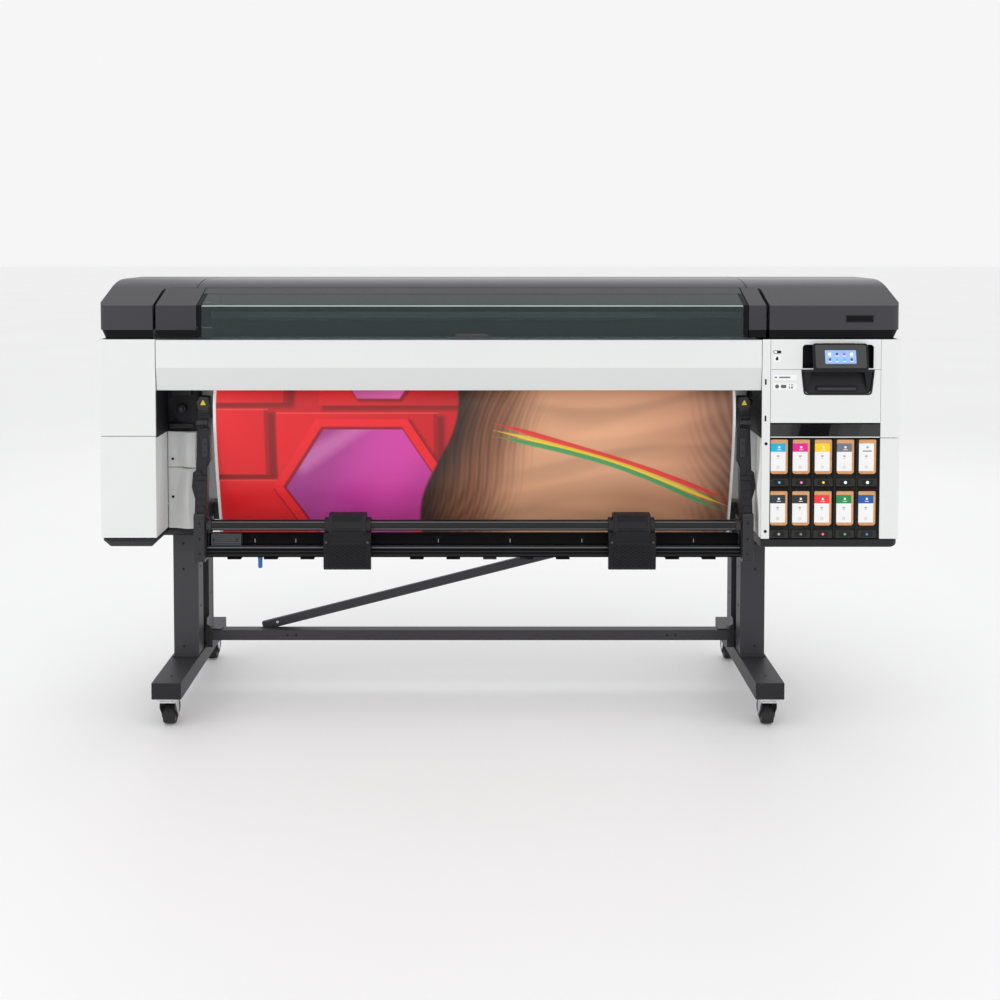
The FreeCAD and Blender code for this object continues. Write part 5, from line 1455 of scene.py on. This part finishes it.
# painted highlights: pale strips on the tube's lower front and upper front edges
for a0, a1 in ((204, 222), (128, 140)):
    hi_ = [(-249 + 17.08 * math.cos(math.radians(a_)), 610 + 17.08 * math.sin(math.radians(a_))) for a_ in range(a0, a1 + 1, 2)]
    lo_ = [(-249 + 16.6 * math.cos(math.radians(a_)), 610 + 16.6 * math.sin(math.radians(a_))) for a_ in range(a1, a0 - 1, -2)]
    B.add(bm_prism("YZ", hi_ + lo_, x0 + 16, x1 - 16, 0.0), TUBE_PAINTED_HIGHLIGHT)
B.done("guide_tube_piece", "collection_frame", ("guide_tube",))

TICK = mat("scale_tick", (0.75, 0.76, 0.76), rough=0.4, var=0.03, grain=900, bump=0.02)


def bar_extra(B):
    bx0, bx1, by0, by1, bz0, bz1 = nb("lower_bar")
    # upper black scale with a few ticks
    for p_ in (254, 295, 367, 438, 510, 582, 654, 694):
        x = (p_ - 485) * 3.105 - 45
        B.add(bm_box(x, x + 1.5, -229.0, -227.7, 550.5, 562, 0.1, 1), TICK)
        B.add(bm_box(x - 9, x - 4, -228.8, -227.7, 566, 569, 0.1, 1), PLATEM)
        B.add(bm_box(x + 6, x + 9, -228.8, -227.7, 566, 569, 0.1, 1), PLATEM)
    # pale bead along the bar's top, coloured as a painted highlight
    B.add(bm_cyl("X", (bx0 + 2, by0 + 4.2, 543.0), 4.6, bx1 - bx0 - 4, 0.8, 32), TUBE_PAINTED_HIGHLIGHT)
    # extruded grooves along the bar, and the end box
    for z in (519.5, 530.0, 540.5):
        B.add(bm_box(bx0 + 1, bx1 - 1, by0 - 0.9, by0 + 1.0, z - 1.2, z + 1.2, 0.6), DARKM)
    BOXG = mat("end_box_grey", (0.070, 0.072, 0.075), rough=0.5, var=0.05, grain=900, bump=0.25, spec=0.3)
    B.add(bm_prism("YZ", rrect(-256, -222, 546, 584, 4, 3), -892, -800, 2.0, 2), BOXG)
    for x in (-884, -812):
        screw(B, "Y", (x, -256, 566), 3.6, BLACK2)
    for i in range(5):
        B.add(bm_box(-889, -803, -257.2, -255.4, 553 + i * 6, 554.6 + i * 6, 0.3, 1), BLACK2)


cad_piece("lower_bar", TUBE, b=1.0, seg=2, mats=[TUBE, BLACK], paint=lambda c, n: 1 if c.z > 547.5 or c.z < 512 else 0, extra=bar_extra)

for side in ("left", "right"):
    node = "grip_" + side
    x0, x1, y0, y1, z0, z1 = nb(node)
    B = Build()
    # clamp shell round the tube
    cl_out = rounded([(-273, 586), (-224, 586), (-224, 640), (-238, 649), (-262, 649), (-273, 640)], [4, 6, 8, 6, 6, 8], 4)
    n_ = 48
    bm = bmesh.new()
    ring_in = [(-249 + 17.3 * math.cos(2 * PI * i / n_), 610 + 17.3 * math.sin(2 * PI * i / n_)) for i in range(n_)]
    # outline resampled to the same count by angle
    def ray(a):
        best = None
        for i in range(len(cl_out)):
            p, q = Vector(cl_out[i]), Vector(cl_out[(i + 1) % len(cl_out)])
            d = Vector((math.cos(a), math.sin(a)))
            e = q - p
            den = d.x * e.y - d.y * e.x
            if abs(den) < 1e-9:
                continue
            w = p - Vector((-249, 610))
            t = (w.x * e.y - w.y * e.x) / den
            u = (w.x * d.y - w.y * d.x) / den
            if t > 0 and -1e-6 <= u <= 1 + 1e-6 and (best is None or t < best):
                best = t
        return (-249 + best * math.cos(a), 610 + best * math.sin(a))
    ring_out = [ray(2 * PI * i / n_) for i in range(n_)]
    for xa, xb in ((x0 + 16, x1 - 16),):
        A = [[bm.verts.new((x, p[0], p[1])) for p in ring] for x in (xa, xb) for ring in (ring_in, ring_out)]
        for i in range(n_):
            j = (i + 1) % n_
            bm.faces.new((A[0][i], A[0][j], A[1][j], A[1][i]))
            bm.faces.new((A[2][i], A[3][i], A[3][j], A[2][j]))
            bm.faces.new((A[0][i], A[2][i], A[2][j], A[0][j]))
            bm.faces.new((A[1][i], A[1][j], A[3][j], A[3][i]))
    recalc(bm)
    bevel(bm, 1.2, 2, 40)
    B.add(bm, BLACK2)
    # collars at its ends
    for xa in (x0 + 2, x1 - 18):
        B.add(bm_ring("X", (xa, -249, 610), 17.4, 25.0, 16, 2.0, 48), BLACK2)
    # pad body with a chamfered neck
    zl = z0 + 0.5
    pad = rounded([(-286, zl + 8), (-279, zl), (-263, zl), (-263, 592), (-272, 592), (-286, 576)], [3, 3, 2, 2, 3, 6], 4)
    B.add(bm_prism("YZ", pad, x0 + 1, x1 - 1, 2.4, 3), BLACK)
    B.add(bm_prism("YZ", rounded([(-288.2, 556), (-263, 556), (-263, 596), (-277, 596)], 3, 3), x0 + 22, x1 - 22, 2.0), BLACK)
    # raised diamond tiles on the pad
    for r in range(15):
        for c in range(9):
            xx = x0 + 12 + c * 16.0 + (8.0 if r % 2 else 0)
            zz = zl + 9 + r * 5.0
            if xx > x1 - 11 or zz > 562:
                continue
            d = bmesh.new()
            v = [d.verts.new(p) for p in ((xx - 7.2, -285.8, zz), (xx, -285.8, zz - 4.5), (xx + 7.2, -285.8, zz), (xx, -285.8, zz + 4.5), (xx - 1.5, -289.4, zz - 1.6), (xx + 1.5, -289.4, zz - 1.6), (xx, -285.0, zz))]
            for q in ((0, 1, 4), (1, 5, 4), (1, 2, 5), (2, 3, 5), (3, 4, 5), (3, 0, 4)):
                d.faces.new([v[k_] for k_ in q])
            for a_, b_ in ((0, 1), (1, 2), (2, 3), (3, 0)):
                d.faces.new((v[b_], v[a_], v[6]))
            recalc(d)
            B.add(d, BLACK)
    # screws and small plain marks on top
    for xx in (x0 + 10, x1 - 10):
        B.add(bm_cyl("Y", (xx, -291.0, 566), 5.0, 4.0, 1.2, 24), BLACKG)
    for i, xx in enumerate((x0 + 46, x0 + 60, x0 + 90)):
        B.add(bm_prism("XZ", rrect(xx, xx + 3.4, 636, 639.4, 1.2, 3), -273.6, -272.4, 0.2), GREY)
    # windows and ribs of the clamp
    B.add(bm_prism("XZ", rrect(x0 + 28, x1 - 28, 626, 645, 3), -274.0, -271.0, 0.8), BLACK)
    for xx in (x0 + 20, x1 - 26):
        B.add(bm_prism("XZ", rrect(xx, xx + 6, 590, 640, 2), -275.0, -271.0, 1.2), BLACK2)
    for i in range(9):
        B.add(bm_box(x0 + 34 + i * 9, x0 + 38 + i * 9, -274.4, -272.0, 594, 606, 0.8), BLACK)
    B.done(node + "_piece", side + "_grip", (node,))

B = Build()
B.add(bm_prism("XZ", rounded([(-748.5, 475), (-735.5, 475), (-735.5, 512), (-748.5, 512)], [5, 5, 2, 2], 5), -250.0, -244.0, 1.4, 3), BLUE)
B.add(bm_cyl("X", (-749, -247, 507.5), 5.0, 14, 0.8, 24), BLUE)
B.add(bm_box(-745.5, -738.5, -251, -249.4, 481, 500, 0.6), BLUE)
B.done("blue_lever_piece", "lever", ("blue_lever",))

# ================================================================ stage
FLOORM = mat("studio_floor", (0.93, 0.93, 0.935), rough=0.55, var=0.01, var_scale=0.6, grain=60, bump=0.02)
fme = bpy.data.meshes.new("floor")
bm = bmesh.new()
bmesh.ops.create_grid(bm, x_segments=8, y_segments=8, size=60)
bm.to_mesh(fme)
bm.free()
floor = bpy.data.objects.new("floor", fme)
SC.collection.objects.link(floor)
floor.location = (0, 0, -0.0005)
fme.materials.append(FLOORM)
